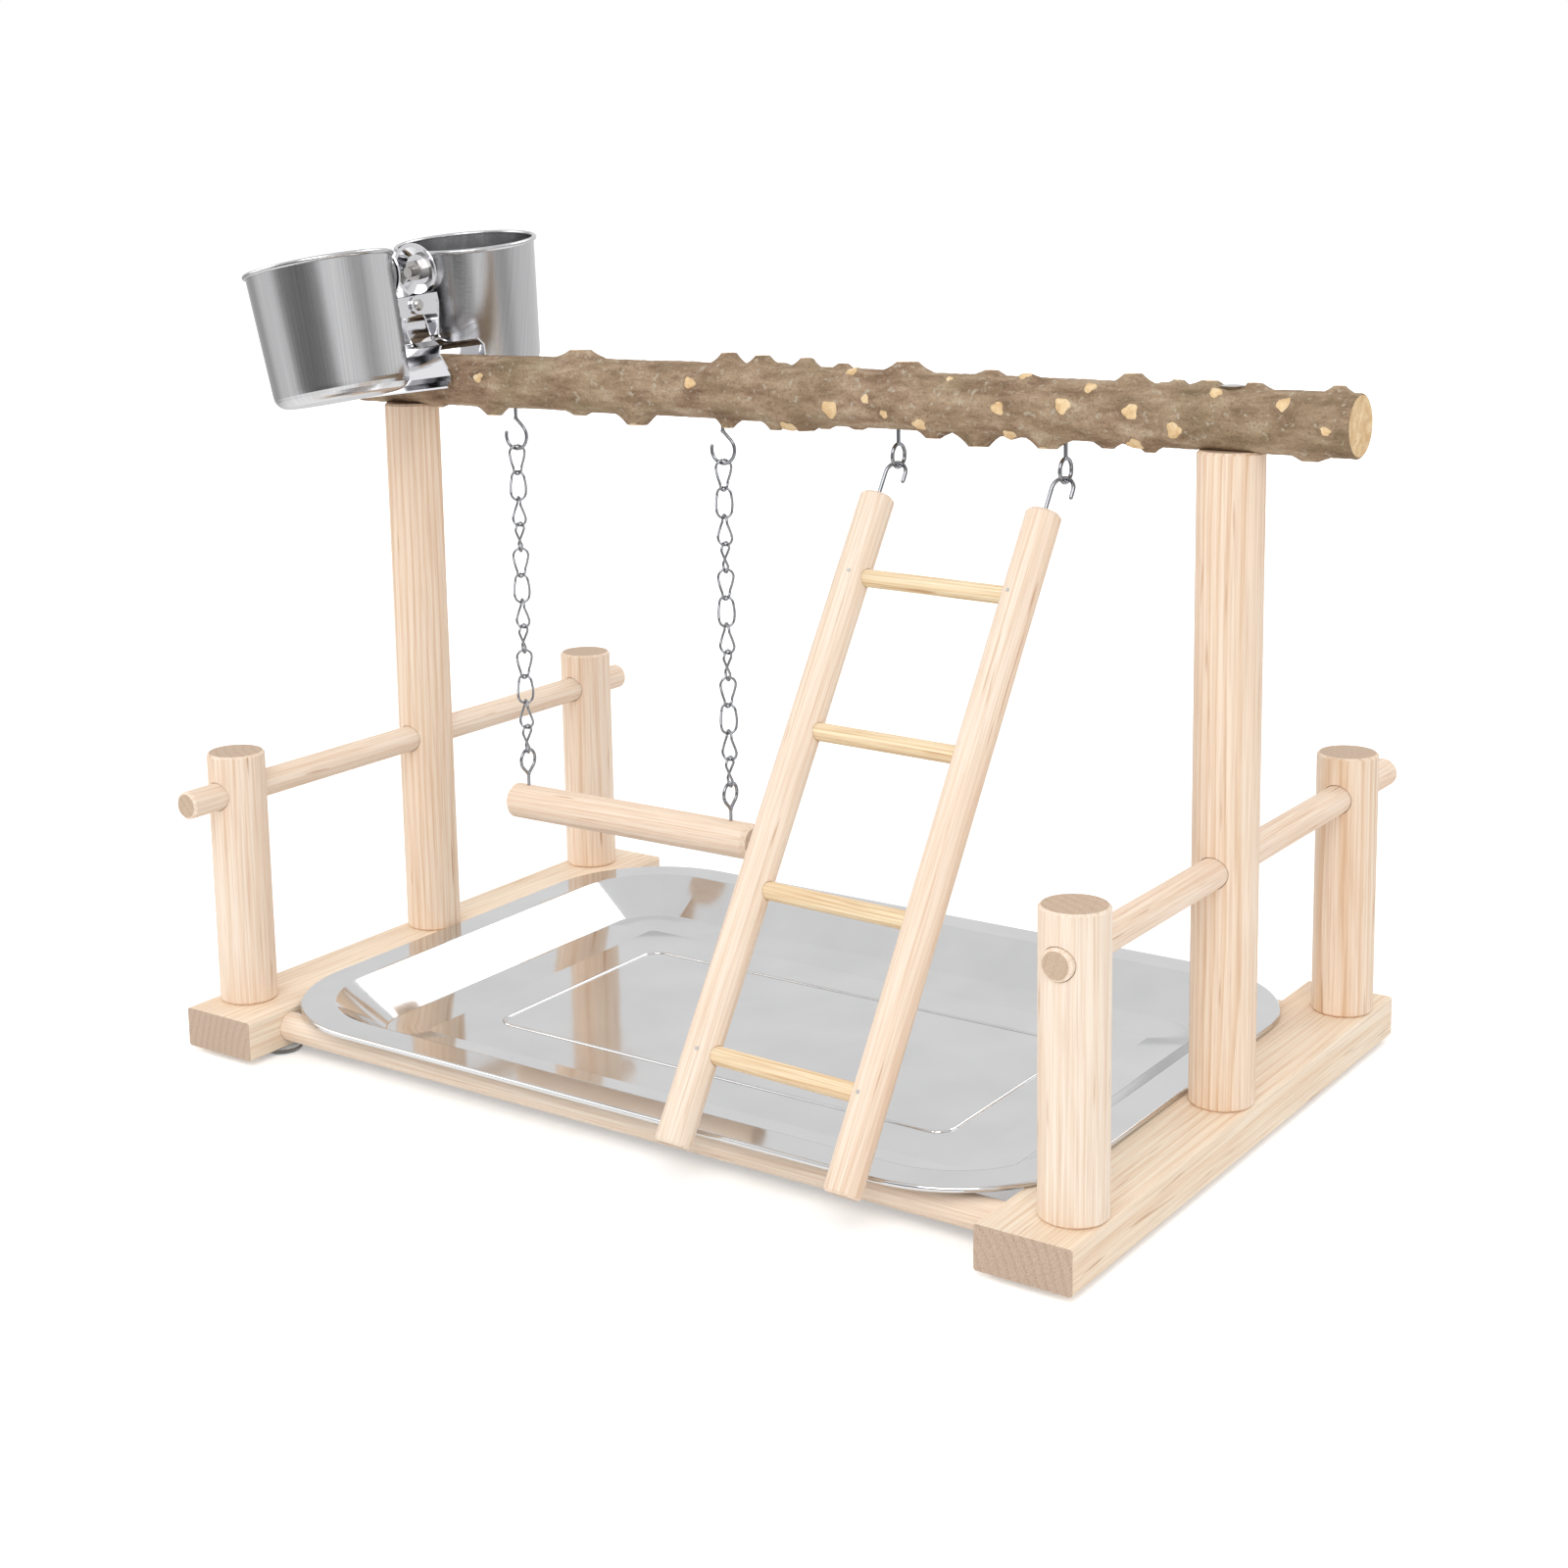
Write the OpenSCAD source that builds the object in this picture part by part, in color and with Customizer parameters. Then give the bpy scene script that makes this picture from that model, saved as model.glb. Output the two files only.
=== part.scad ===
// Parrot play stand: a wooden base with six posts, a natural branch with a chain swing and a
// hooked ladder, a pressed steel tray, and two steel cups on a sprung clip.
// X runs left to right, Y front to back and Z up. The origin is on the ground, under the middle
// of the whole outline.

/* [Base] */
// Width over the outer faces of both base rails
base_width = 340; // [330:1:380]
// Length of a base rail, front to back
rail_length = 230; // [228:1:250]
// Width of a base rail
rail_width = 30; // [28:0.5:34]
// Height of a base rail
rail_height = 13.5; // [13:0.5:18]
// Chamfer along the long edges of a base rail
rail_chamfer = 0.6; // [0.2:0.1:1.5]
// Diameter of the two cross dowels between the rails
cross_dowel_d = 10; // [8:0.5:11]
// Distance from a rail's end to the axis of a cross dowel
cross_dowel_setback = 19.3; // [18:0.1:21]
// Depth of the blind socket for a cross dowel
socket_depth = 9; // [7:0.5:12]
// Slack round a cross dowel in its socket
socket_slack = 0.3; // [0.1:0.1:0.6]
// Diameter of a clear foot
foot_d = 14; // [10:0.5:15]
// Height of a clear foot
foot_h = 2; // [1.5:0.1:4]
// How far a foot shows past the inner face of its rail
foot_overhang = 3; // [0:0.5:4]
// Distance from a rail's end to the middle of a foot
foot_setback = 19; // [10:0.5:24]
// How far the middle of the whole outline lies to the right of the base's middle
outline_right = 4.4; // [0:0.1:8]
// How far the middle of the whole outline lies behind the base's middle
outline_back = 3.1; // [0:0.1:6]

/* [Posts and side perches] */
// Diameter of all six posts
post_d = 19.8; // [18:0.1:21]
// Height of a tall post above its rail
tall_post_h = 198.5; // [190:0.5:240]
// Height of a short post above its rail
short_post_h = 88; // [84:1:100]
// Distance from a rail's end to the axis of a short post
short_post_setback = 19.5; // [18:0.5:24]
// Chamfer round the ends of a post
post_chamfer = 0.8; // [0.3:0.1:1.5]
// Depth of the flat planed along the left front post
flat_depth = 0.8; // [0.3:0.1:1.5]
// Diameter of a side perch
side_perch_d = 9.5; // [8:0.1:10.5]
// Length of a side perch
side_perch_length = 235; // [230:1:250]
// Height of a side perch's axis above the rail
side_perch_h = 74; // [66:1:76]
// How far the left perch is slid to the back
left_perch_shift = -1.5; // [-3:0.5:3]
// How far the right perch is slid to the back
right_perch_shift = 11; // [6:0.5:12]
// Slack of a perch in its holes
perch_slack = 0.4; // [0.2:0.1:0.8]
// Diameter of a wood screw's shank
screw_d = 3.5; // [3:0.1:4.5]
// Length of a screw that holds a post
post_screw_length = 32; // [28:1:36]
// Length of a screw that holds the branch
branch_screw_length = 38; // [34:1:42]

/* [Branch] */
// Diameter of the branch without its knobs
branch_d = 18.6; // [18:0.1:22]
// Distance from the middle of the stand to the branch's left end
branch_left = 183; // [180:1:200]
// Distance from the middle of the stand to the branch's right end
branch_right = 198.5; // [185:0.5:205]
// Depth of the seat that a tall post cuts into the branch
seat_depth = 0.6; // [0.3:0.1:1.2]
// Height of a large knob above the bark
knob_h = 3.4; // [2:0.1:5]
// Radius of a large knob at the bark
knob_r = 4.4; // [3:0.1:6]

/* [Swing] */
// Distance from the middle of the stand to the left swing hook
left_hook_distance = 110.5; // [105:0.5:115]
// Distance between the two swing hooks
hook_spacing = 90; // [80:1:100]
// Wire of a swing hook
hook_wire = 1.2; // [1:0.1:1.6]
// Width of a swing hook over its round end
hook_width = 10.5; // [9:0.5:12]
// Drop from the branch to the wire at the bottom of a swing hook
hook_drop = 14; // [13:0.1:18]
// Wire of a chain link
link_wire = 0.9; // [0.8:0.1:1.1]
// Length of a chain link
link_length = 11.25; // [10:0.05:12]
// Width of a chain link
link_width = 6.3; // [5.6:0.1:7.5]
// Links that hang as one between the top and the bottom link
middle_links = 10; // [6:2:10]
// Gap between two links in a line
link_gap = 0.2; // [0.1:0.05:0.3]
// Diameter of the swing perch
swing_d = 12.5; // [11:0.5:14]
// Length of the swing perch
swing_length = 106; // [103:1:120]
// How far the swing perch reaches past the left eye
swing_left_reach = 7; // [5:0.5:12]
// Width of the eyes on the swing perch
swing_eye_width = 8.8; // [7.5:0.1:10]
// Height of an eye above the swing perch
swing_eye_h = 13.9; // [12:0.1:18]

/* [Ladder] */
// Distance from the middle of the stand to the middle of the ladder hooks
ladder_x = 77.2; // [72:0.2:80]
// Distance between the two ladder rails
ladder_spacing = 59; // [54:0.2:62]
// Diameter of a ladder rail
ladder_rail_d = 11.2; // [10:0.1:12]
// Length of a ladder rail
ladder_rail_length = 210; // [205:1:213]
// Diameter of a rung
rung_d = 5.7; // [5:0.1:7]
// Distance from the top of a rail to the first rung
first_rung = 27.6; // [20:0.2:32]
// Distance between two rungs
rung_pitch = 51.3; // [48:0.1:53]
// Depth of the blind hole for a rung
rung_socket = 8; // [6:0.2:8.4]
// Slack of a rung in its hole
rung_slack = 0.3; // [0.1:0.1:0.5]
// How far the ladder hangs out of square
ladder_roll = 1.2; // [0:0.1:3]
// Drop from the branch to the middle of the ladder's hook line
ladder_drop = 10.4; // [9.5:0.1:14]
// Wire of the ladder's hooks and eyes
ladder_wire = 1.3; // [0.9:0.1:1.4]
// Radius of the bend in a ladder hook
ladder_hook_r = 3.6; // [2.2:0.1:4]
// Length of bare hook above a ladder rail
ladder_hook_h = 12; // [11:0.1:15]
// Radius of the eyes that the ladder hangs from
ladder_eye_r = 3.7; // [3:0.1:4]

/* [Tray] */
// Depth of the tray, front to back
tray_depth = 216; // [212:1:220]
// How far the tray sits to the front of the middle
tray_forward = 0.5; // [0:0.1:1]
// Gap between the tray and a post
tray_side_gap = 1.2; // [0.8:0.1:3]
// Outer corner radius of the tray
tray_corner_r = 46; // [45:0.5:60]
// Thickness of the tray's sheet
tray_sheet = 0.6; // [0.4:0.1:1]
// Diameter of the rolled edge
tray_roll_d = 1.8; // [1.6:0.1:2.6]
// Width of the flat rim
rim_width = 11.5; // [8:0.5:12]
// Width of the sloped wall
wall_run = 17; // [14:0.5:18]
// Width of the shallow band inside the wall
band_run = 15; // [8:0.5:15.5]
// Drop of the sloped wall
wall_drop = 11.3; // [8:0.1:11.5]
// Drop of the shallow band
band_drop = 1.6; // [0.8:0.1:2]
// Length of the raised bead on the floor
bead_length = 180; // [150:1:200]
// Width of the raised bead's rectangle
bead_width = 90; // [70:1:105]
// Wire size of the raised bead
bead_d = 1.6; // [1.4:0.1:2.4]

/* [Clip] */
// Distance from the middle of the stand to the middle of the clip
clip_distance = 157.5; // [150:0.5:158]
// How far the clip leans to the left
clip_roll = 7.5; // [0:0.5:9]
// How far the clip leans to the front
clip_tilt = 3.2; // [0:0.2:5]
// Thickness of the clip's sheet
clip_sheet = 0.8; // [0.6:0.1:0.9]
// Width of the clip's arms
arm_width = 15.2; // [14:0.1:17]
// Height of the pivot pin above the branch's axis
pivot_h = 26; // [25:0.5:29]
// Height of the discs above the pivot pin
disc_rise = 12.7; // [12.5:0.1:16]
// Distance of a disc's outer face from the middle of the clip
disc_reach = 13.3; // [12.8:0.1:14]
// Diameter of a disc
disc_d = 20; // [18:0.5:21]
// How far a disc leans in at the top
disc_lean = 5; // [3:0.5:9]
// Height of the boss on a disc that the cup bears on
boss_h = 1.4; // [1.2:0.1:1.8]
// Width of a jaw at its top edge
jaw_top_width = 48; // [40:1:50]
// Width of a jaw at its lip
jaw_lip_width = 56; // [50:1:58]
// Diameter of the pivot pin
pin_d = 2.6; // [2:0.1:3]

/* [Cups] */
// Diameter of a cup over its rolled rim
cup_rim_d = 53.5; // [50:0.5:56]
// Diameter of a cup at its base
cup_base_d = 48; // [44:0.5:49]
// Height of a cup
cup_h = 48.5; // [40:0.5:50]
// Thickness of a cup's sheet
cup_sheet = 0.6; // [0.5:0.1:0.9]
// Diameter of a cup's rolled rim
cup_roll_d = 1.8; // [1.6:0.1:2]
// Radius of a cup's bottom corner
cup_corner_r = 5; // [3:0.5:8]
// Distance from the rim down to the bolt
bolt_drop = 6.4; // [6.1:0.1:8]
// Diameter of a cup bolt
bolt_d = 3.9; // [3.5:0.1:4.2]
// Width of a nut across its corners
nut_d = 8; // [7:0.1:8.6]
// How far the front cup is turned to the left on its bolt
front_cup_turn = 4; // [0:0.5:12]
// How far the rear cup is turned to the right on its bolt
rear_cup_turn = 8; // [0:0.5:12]

/* [Hidden] */
$fn = 48;

// Colours
pine = [0.93, 0.84, 0.71];
rung_wood = [0.94, 0.85, 0.66];
bark = [0.50, 0.42, 0.35];
steel = [0.78, 0.79, 0.80];
chrome = [0.85, 0.86, 0.87];
clear = [0.92, 0.94, 0.95];

// One overrun for all cuts, the play of a fixed fit, and the gap between loose pieces
cut = 1.5;
fit = 0.01;
touch_gap = 0.3;
bead_share = 1.06;
knot_share = 1.3;

// Heights and places of the base
rail_top = foot_h + rail_height;
dowel_y = rail_length / 2 - cross_dowel_setback;
dowel_z = foot_h + rail_height / 2;
dowel_end_gap = socket_depth / 20;
post_x = base_width / 2 - post_d / 2;
short_post_y = rail_length / 2 - short_post_setback;
rail_inner_x = base_width / 2 - rail_width;
foot_x = rail_inner_x + foot_d / 2 - foot_overhang;
foot_y = rail_length / 2 - foot_setback;
tall_top = rail_top + tall_post_h;
perch_z = rail_top + side_perch_h;
flat_turn = 215;

// Wood screws
screw_head_d = 2 * screw_d;
screw_head_h = 0.8 * screw_d;
screw_point_h = screw_d;

// Branch
branch_z = tall_top + branch_d / 2 - seat_depth;
branch_bottom = branch_z - branch_d / 2;
branch_length = branch_left + branch_right;
branch_wave = branch_d / 60;
branch_rings = 26;
branch_wave_turns = 1900;
screw_seat_share = 1.06;
bark_round_share = 0.25;
knob_foot_share = 1.5;
knob_tip_share = 0.62;
knob_sink_share = 0.35;
// Each knob: place along the branch as a share, turn from the top to the front, and its shares
// of a large knob's width and height
knobs = [
    [0.268, -7, 1.25, 1.0], [0.431, -7, 0.85, 1.3], [0.467, -7, 0.8, 1.1], [0.487, -7, 0.6, 0.3],
    [0.512, -7, 0.7, 1.0], [0.549, -7, 0.6, 0.55], [0.570, 33, 0.75, 0.6], [0.613, -7, 1.1, 1.1],
    [0.662, 33, 0.5, 0.2], [0.691, -7, 0.6, 0.55], [0.729, 21, 0.8, 0.6], [0.790, 42, 0.8, 0.5],
    [0.816, -7, 0.95, 0.95], [0.844, -7, 0.45, 0.2], [0.854, -7, 0.55, 0.5], [0.880, -7, 0.85, 0.6],
    [0.915, -7, 0.7, 0.6], [0.982, -7, 0.55, 0.65], [0.170, 78, 0.65, 0.6], [0.412, 72, 0.7, 0.8],
    [0.556, 104, 1.1, 0.8], [0.590, 84, 0.6, 0.5], [0.607, 109, 0.6, 0.5], [0.639, 125, 0.85, 0.6],
    [0.506, 149, 1.1, 0.9], [0.714, 87, 0.8, 0.6], [0.771, 77, 0.9, 0.7], [0.829, 80, 0.9, 0.7],
    [0.865, 105, 1.0, 0.7], [0.950, 56, 0.85, 0.7], [0.984, 94, 0.5, 0.4], [0.720, 136, 0.8, 0.6],
    [0.829, 137, 0.9, 0.7], [0.894, 39, 0.8, 0.6], [0.098, 173, 0.65, 0.35], [0.168, 173, 0.85, 1.05],
    [0.270, 173, 0.65, 0.5], [0.335, 173, 1.15, 1.35], [0.434, 173, 0.6, 1.05], [0.485, 173, 0.65, 0.95],
    [0.517, 173, 0.7, 0.8], [0.535, 173, 0.55, 0.45], [0.568, 173, 0.6, 0.3], [0.640, 173, 0.65, 0.8],
    [0.683, 173, 0.9, 1.4], [0.745, 173, 1.1, 1.1], [0.798, 173, 0.65, 0.6], [0.834, 173, 0.6, 0.7],
    [0.963, 173, 0.65, 0.55]
];
rear_knobs = 11;
rear_knob_start = 0.19;
rear_knob_step = 0.074;
rear_knob_first_turn = 60;
rear_knob_turn = 47;
rear_knob_spread = 75;
rear_knob_share = 0.8;

// Swing
left_hook_x = -left_hook_distance;
right_hook_x = left_hook_x + hook_spacing;
hook_z = branch_bottom - hook_drop;
hook_r = (hook_width - hook_wire) / 2;
hook_neck = 1.35 * hook_r;
hook_tip_rise = 12;
thread_depth = 0.42 * branch_d;
link_r = (link_width - link_wire) / 2;
link_line = link_length - link_wire;
link_pitch = link_line - link_wire - link_gap;
top_link_z = hook_z + hook_wire / 2 + link_wire / 2 + link_gap;
last_link = middle_links + 2;
chain_end_z = top_link_z - link_pitch * (last_link - 1) - link_line;
eye_wire = hook_wire;
eye_top_z = chain_end_z + link_wire / 2 + eye_wire / 2 + link_gap;
swing_z = eye_top_z + eye_wire / 2 - swing_eye_h - swing_d / 2;
eye_r = (swing_eye_width - eye_wire) / 2;
eye_neck = 1.4 * eye_r;
eye_thread = 0.5 * swing_d;
swing_x = left_hook_x - swing_left_reach;
swing_end_r = 0.12 * swing_d;

// Tray
tray_width = 2 * (post_x - post_d / 2 - tray_side_gap);
tray_rim_z = rail_top + touch_gap / 2 + tray_roll_d;
tray_y = -tray_forward;
line_1 = rim_width + wall_run;
line_2 = line_1 + band_run;
tray_floor_z = tray_rim_z - wall_drop - band_drop;
roll_y = tray_y - tray_depth / 2 + tray_roll_d / 2;
roll_z = tray_rim_z - tray_roll_d / 2;

// Ladder
pivot_z = branch_bottom - ladder_drop;
low_pivot_z = pivot_z - ladder_spacing / 2 * sin(ladder_roll);
rest_reach = norm([roll_y, low_pivot_z - roll_z]);
rest_gap = ladder_rail_d / 2 + tray_roll_d / 2 + touch_gap;
ladder_lean = atan(-roll_y / (low_pivot_z - roll_z)) + asin(rest_gap / rest_reach);
rung_half = ladder_spacing / 2 - ladder_rail_d / 2 + rung_socket - rung_slack;
eye_clear = ladder_wire / 20;
eye_x_step = ladder_spacing / 2 * cos(ladder_roll);
eye_z_step = ladder_spacing / 2 * sin(ladder_roll);
nail_d = 0.9 * ladder_wire;
nail_rungs = [1, 4];

// Clip
pin_play = pin_d / 40;
disc_h = pivot_h + disc_rise;
dish_depth = 0.2 * disc_d / 2;
dish_flat_share = 0.6;
dish_rim_share = 0.9;
ear_r = 1.35 * pin_d;
ear_gap = clip_sheet / 5;
rear_ear_x = arm_width / 2 - clip_sheet;
front_ear_x = rear_ear_x - clip_sheet - ear_gap;
jaw_h = branch_d / 2 + clip_sheet / 2 + touch_gap / 2;
waist_u = 0.78 * jaw_h;
waist_z = 1.45 * jaw_h;
neck_u = disc_reach - (boss_h + dish_depth + clip_sheet / 2) * cos(disc_lean)
    + disc_d / 2 * sin(disc_lean);
jaw_top_z = 1.1 * jaw_h;
lip_z = -0.38 * jaw_h;
// Middle line of an arm's sheet: distance out from the clip's middle, and height
arm_line = [
    [neck_u, disc_h - disc_d / 2 + clip_sheet], [1.02 * neck_u, pivot_h], [waist_u, waist_z],
    [1.02 * waist_u, 1.28 * jaw_h], [1.02 * jaw_h, 1.1 * jaw_h], [1.24 * jaw_h, 0.85 * jaw_h],
    [1.12 * jaw_h, 0.45 * jaw_h], [jaw_h, 0], [1.12 * jaw_h, -0.2 * jaw_h], [1.4 * jaw_h, lip_z]
];
fillet_r = 0.28 * arm_width;
slot_top_z = 1.42 * jaw_h;
slot_bottom_z = 1.07 * jaw_h;
spring_width = 2 * (front_ear_x - clip_sheet);
spring_sheet = 0.8 * clip_sheet;
spring_r = 0.55 * jaw_h;
spring_z = pivot_h - pin_d / 2 - ear_gap - spring_sheet / 2 - spring_r;
spring_tab_z = 1.27 * jaw_h;
spring_foot_u = waist_u - clip_sheet - spring_sheet / 2;
spring_tab_u = waist_u + 2 * clip_sheet;
pin_head_d = 1.7 * pin_d;
pin_head_h = 0.35 * pin_d;

// Cups
cup_top_r = cup_rim_d / 2 - 0.6 * cup_roll_d;
cup_lip_z = -0.35 * cup_roll_d;
cup_slope = atan((cup_top_r - cup_base_d / 2) / cup_h);
bolt_wall_r = cup_top_r - bolt_drop * tan(cup_slope);
bolt_play = bolt_d / 50;
bolt_head_d = 1.8 * bolt_d;
bolt_head_h = 0.55 * bolt_d;
bolt_head_gap = 0.1 * bolt_d;
nut_h = 0.75 * bolt_d;
bolt_tail = 1.45 * bolt_d;
boss_r = 0.8 * bolt_d;
bolt_reach = boss_h + clip_sheet + bolt_tail;

// A straight wire between two heights, and a bent one in the X-Z plane
module wire_up(d, z1, z2) {
    translate([0, 0, z1]) cylinder(d = d, h = z2 - z1);
}

module wire_arc(d, r, start, span) {
    rotate([90, 0, 0])
        rotate([0, 0, start])
            rotate_extrude(angle = span)
                translate([r, 0]) circle(d = d);
}

// A slight bead at the end of a bend
module wire_bead(d, r, at) {
    translate([r * cos(at), 0, r * sin(at)]) sphere(d = bead_share * d);
}

// A chamfered round bar standing on Z = 0
module bar(d, h, c) {
    rotate_extrude()
        polygon([[0, 0], [d / 2 - c, 0], [d / 2, c], [d / 2, h - c], [d / 2 - c, h], [0, h]]);
}

// A wood screw pointing up, with the flat of its head at Z = 0
module wood_screw(length, play) {
    cylinder(d1 = screw_head_d + 2 * play, d2 = screw_d + 2 * play, h = screw_head_h);
    cylinder(d = screw_d + 2 * play, h = length - screw_point_h);
    translate([0, 0, length - screw_point_h])
        cylinder(d1 = screw_d + 2 * play, d2 = 0.2 * screw_d, h = screw_point_h);
}

module post_screw_places() {
    for (side = [-1, 1], y = [-short_post_y, 0, short_post_y])
        translate([side * post_x, y, foot_h + fit]) children();
}

module branch_screw_places() {
    for (side = [-1, 1])
        translate([side * post_x, 0, branch_z + screw_seat_share * branch_d / 2])
            rotate([180, 0, 0]) children();
}

// Base
module base_rail(side) {
    c = rail_chamfer;
    w = rail_width / 2;
    color(pine) difference() {
        translate([side * (base_width / 2 - w), rail_length / 2, foot_h])
            rotate([90, 0, 0])
                linear_extrude(rail_length)
                    polygon([
                        [-w + c, 0], [w - c, 0], [w, c], [w, rail_height - c],
                        [w - c, rail_height], [-w + c, rail_height], [-w, rail_height - c], [-w, c]
                    ]);
        post_screw_places() translate([0, 0, -fit]) wood_screw(post_screw_length, fit);
        for (y = [-dowel_y, dowel_y])
            translate([side * (rail_inner_x - cut), y, dowel_z])
                rotate([0, side * 90, 0])
                    cylinder(d = cross_dowel_d + socket_slack, h = socket_depth + cut);
    }
}

module cross_dowel(y) {
    half = rail_inner_x + socket_depth - dowel_end_gap;
    color(pine)
        translate([-half, y, dowel_z])
            rotate([0, 90, 0]) bar(cross_dowel_d, 2 * half, rail_chamfer);
}

module bumper_feet() {
    color(clear)
        for (x = [-foot_x, foot_x], y = [-foot_y, foot_y])
            translate([x, y, 0])
                rotate_extrude()
                    polygon([
                        [0, 0], [0.42 * foot_d, 0], [0.47 * foot_d, 0.25 * foot_h],
                        [foot_d / 2, 0.6 * foot_h], [foot_d / 2, foot_h], [0, foot_h]
                    ]);
}

module post_screws() {
    color(steel) post_screw_places() wood_screw(post_screw_length, 0);
}

// Posts and side perches
module perch_bore() {
    translate([0, post_d / 2 + cut, perch_z])
        rotate([90, 0, 0]) cylinder(d = side_perch_d + perch_slack, h = post_d + 2 * cut);
}

module post(x, y, h) {
    difference() {
        translate([x, y, rail_top]) bar(post_d, h, post_chamfer);
        translate([x, y, 0]) perch_bore();
        post_screw_places() wood_screw(post_screw_length, fit);
        branch_screw_places() wood_screw(branch_screw_length, fit);
    }
}

module tall_post(side) {
    color(pine) post(side * post_x, 0, tall_post_h);
}

module short_post(side, y) {
    color(pine) post(side * post_x, y, short_post_h);
}

module short_post_left_front() {
    color(pine) difference() {
        post(-post_x, -short_post_y, short_post_h);
        translate([-post_x, -short_post_y, rail_top - cut])
            rotate([0, 0, flat_turn])
                translate([post_d / 2 - flat_depth, -post_d / 2, 0])
                    cube([post_d, post_d, short_post_h + 2 * cut]);
    }
}

module side_perch(side, shift) {
    color(pine)
        translate([side * post_x, shift + side_perch_length / 2, perch_z])
            rotate([90, 0, 0]) bar(side_perch_d, side_perch_length, post_chamfer);
}

// Branch
function branch_r(s) = branch_d / 2 + branch_wave * (sin(branch_wave_turns * s) - 1) / 2
    - (s < 0.005 || s > 0.995 ? bark_round_share * seat_depth : 0);

module knob(share, turn, wide, high) {
    translate([-branch_left + share * branch_length, 0, branch_z])
        rotate([turn, 0, 0])
            translate([0, 0, branch_d / 2 - knob_sink_share * branch_d])
                cylinder(
                    r1 = wide * knob_r * knob_foot_share, r2 = wide * knob_r * knob_tip_share,
                    h = knob_sink_share * branch_d + high * knob_h
                );
}

module branch_perch() {
    color(bark) difference() {
        union() {
            translate([-branch_left, 0, branch_z])
                rotate([0, 90, 0])
                    rotate_extrude()
                        polygon(concat(
                            [[0, 0]],
                            [for (i = [0:branch_rings])
                                [branch_r(i / branch_rings), branch_length * i / branch_rings]],
                            [[0, branch_length]]
                        ));
            for (k = knobs) knob(k[0], k[1], k[2], k[3]);
            for (i = [0:rear_knobs - 1])
                knob(
                    rear_knob_start + i * rear_knob_step,
                    -rear_knob_first_turn - (i * rear_knob_turn) % rear_knob_spread,
                    rear_knob_share, rear_knob_share
                );
        }
        for (side = [-1, 1])
            translate([side * post_x, 0, tall_top - branch_d])
                cylinder(d = post_d + 2 * touch_gap, h = branch_d);
        branch_screw_places() translate([0, 0, -cut]) cylinder(d = screw_head_d, h = cut + fit);
        branch_screw_places() wood_screw(branch_screw_length, fit);
        for (x = [left_hook_x, right_hook_x])
            translate([x, 0, branch_bottom - knob_h])
                cylinder(d = hook_wire + 4 * fit, h = knob_h + thread_depth + fit);
        for (side = [-1, 1])
            translate([ladder_x + side * eye_x_step, 0, branch_bottom - 2 * knob_h])
                cylinder(d = ladder_wire + 4 * fit, h = 2 * knob_h + thread_depth + fit);
    }
}

module branch_screws() {
    color(steel) branch_screw_places() wood_screw(branch_screw_length, 0);
}

// Swing
module swing_hook() {
    half = acos(hook_r / hook_neck);
    leg = sqrt(hook_neck * hook_neck - hook_r * hook_r);
    translate([0, 0, hook_z + hook_r]) {
        wire_arc(hook_wire, hook_r, -180 - hook_tip_rise, 270 + hook_tip_rise - half);
        wire_bead(hook_wire, hook_r, 180 - hook_tip_rise);
        wire_bead(hook_wire, hook_r, 90 - half);
        translate([0, 0, hook_neck]) {
            rotate([0, half - 90, 0]) wire_up(hook_wire, -leg, 0);
            sphere(d = knot_share * hook_wire);
        }
        wire_up(hook_wire, hook_neck, branch_bottom + thread_depth - hook_z - hook_r);
    }
}

module swing_hooks() {
    color(chrome)
        for (x = [left_hook_x, right_hook_x])
            translate([x, 0, 0]) swing_hook();
}

// Link number n of a chain, counted from the top; odd links lie in the Y-Z plane
module chain_link(n) {
    straight = link_length - link_width;
    middle = top_link_z - link_pitch * (n - 1) - link_line / 2;
    translate([0, 0, middle])
        rotate([0, 0, 90 * (n % 2)]) {
            for (side = [-1, 1]) {
                translate([side * link_r, 0, -straight / 2])
                    cylinder(d = link_wire, h = straight);
                translate([0, 0, side * straight / 2])
                    wire_arc(link_wire, link_r, 90 - side * 90, 180);
            }
        }
}

module chain_part(x, first, last) {
    color(chrome)
        translate([x, 0, 0])
            for (n = [first:last]) chain_link(n);
}

module end_link(x) {
    chain_part(x, last_link, last_link);
}

module swing_top_links() {
    chain_part(left_hook_x, 1, 1);
    chain_part(right_hook_x, 1, 1);
}

// A pear-shaped eye in the Y-Z plane, with its top wire at Z = 0
module swing_eye() {
    half = acos(eye_r / eye_neck);
    leg = sqrt(eye_neck * eye_neck - eye_r * eye_r);
    rotate([0, 0, 90])
        translate([0, 0, -eye_r]) {
            wire_arc(eye_wire, eye_r, -90 + half, 360 - 2 * half);
            for (side = [-1, 1]) {
                wire_bead(eye_wire, eye_r, -90 + side * half);
                translate([0, 0, -eye_neck])
                    rotate([0, side * (90 - half), 0]) wire_up(eye_wire, 0, leg);
            }
            translate([0, 0, -eye_neck]) sphere(d = knot_share * eye_wire);
            wire_up(eye_wire, swing_z + swing_d / 2 - eye_thread - eye_top_z + eye_r, -eye_neck);
        }
}

module swing_eyes() {
    color(chrome)
        for (x = [left_hook_x, right_hook_x])
            translate([x, 0, eye_top_z]) swing_eye();
}

module swing_perch() {
    color(pine) difference() {
        translate([swing_x, 0, swing_z])
            rotate([0, 90, 0]) bar(swing_d, swing_length, swing_end_r);
        for (x = [left_hook_x, right_hook_x])
            translate([x, 0, swing_z + swing_d / 2 - eye_thread - fit])
                cylinder(d = eye_wire + 4 * fit, h = eye_thread + cut);
    }
}

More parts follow.
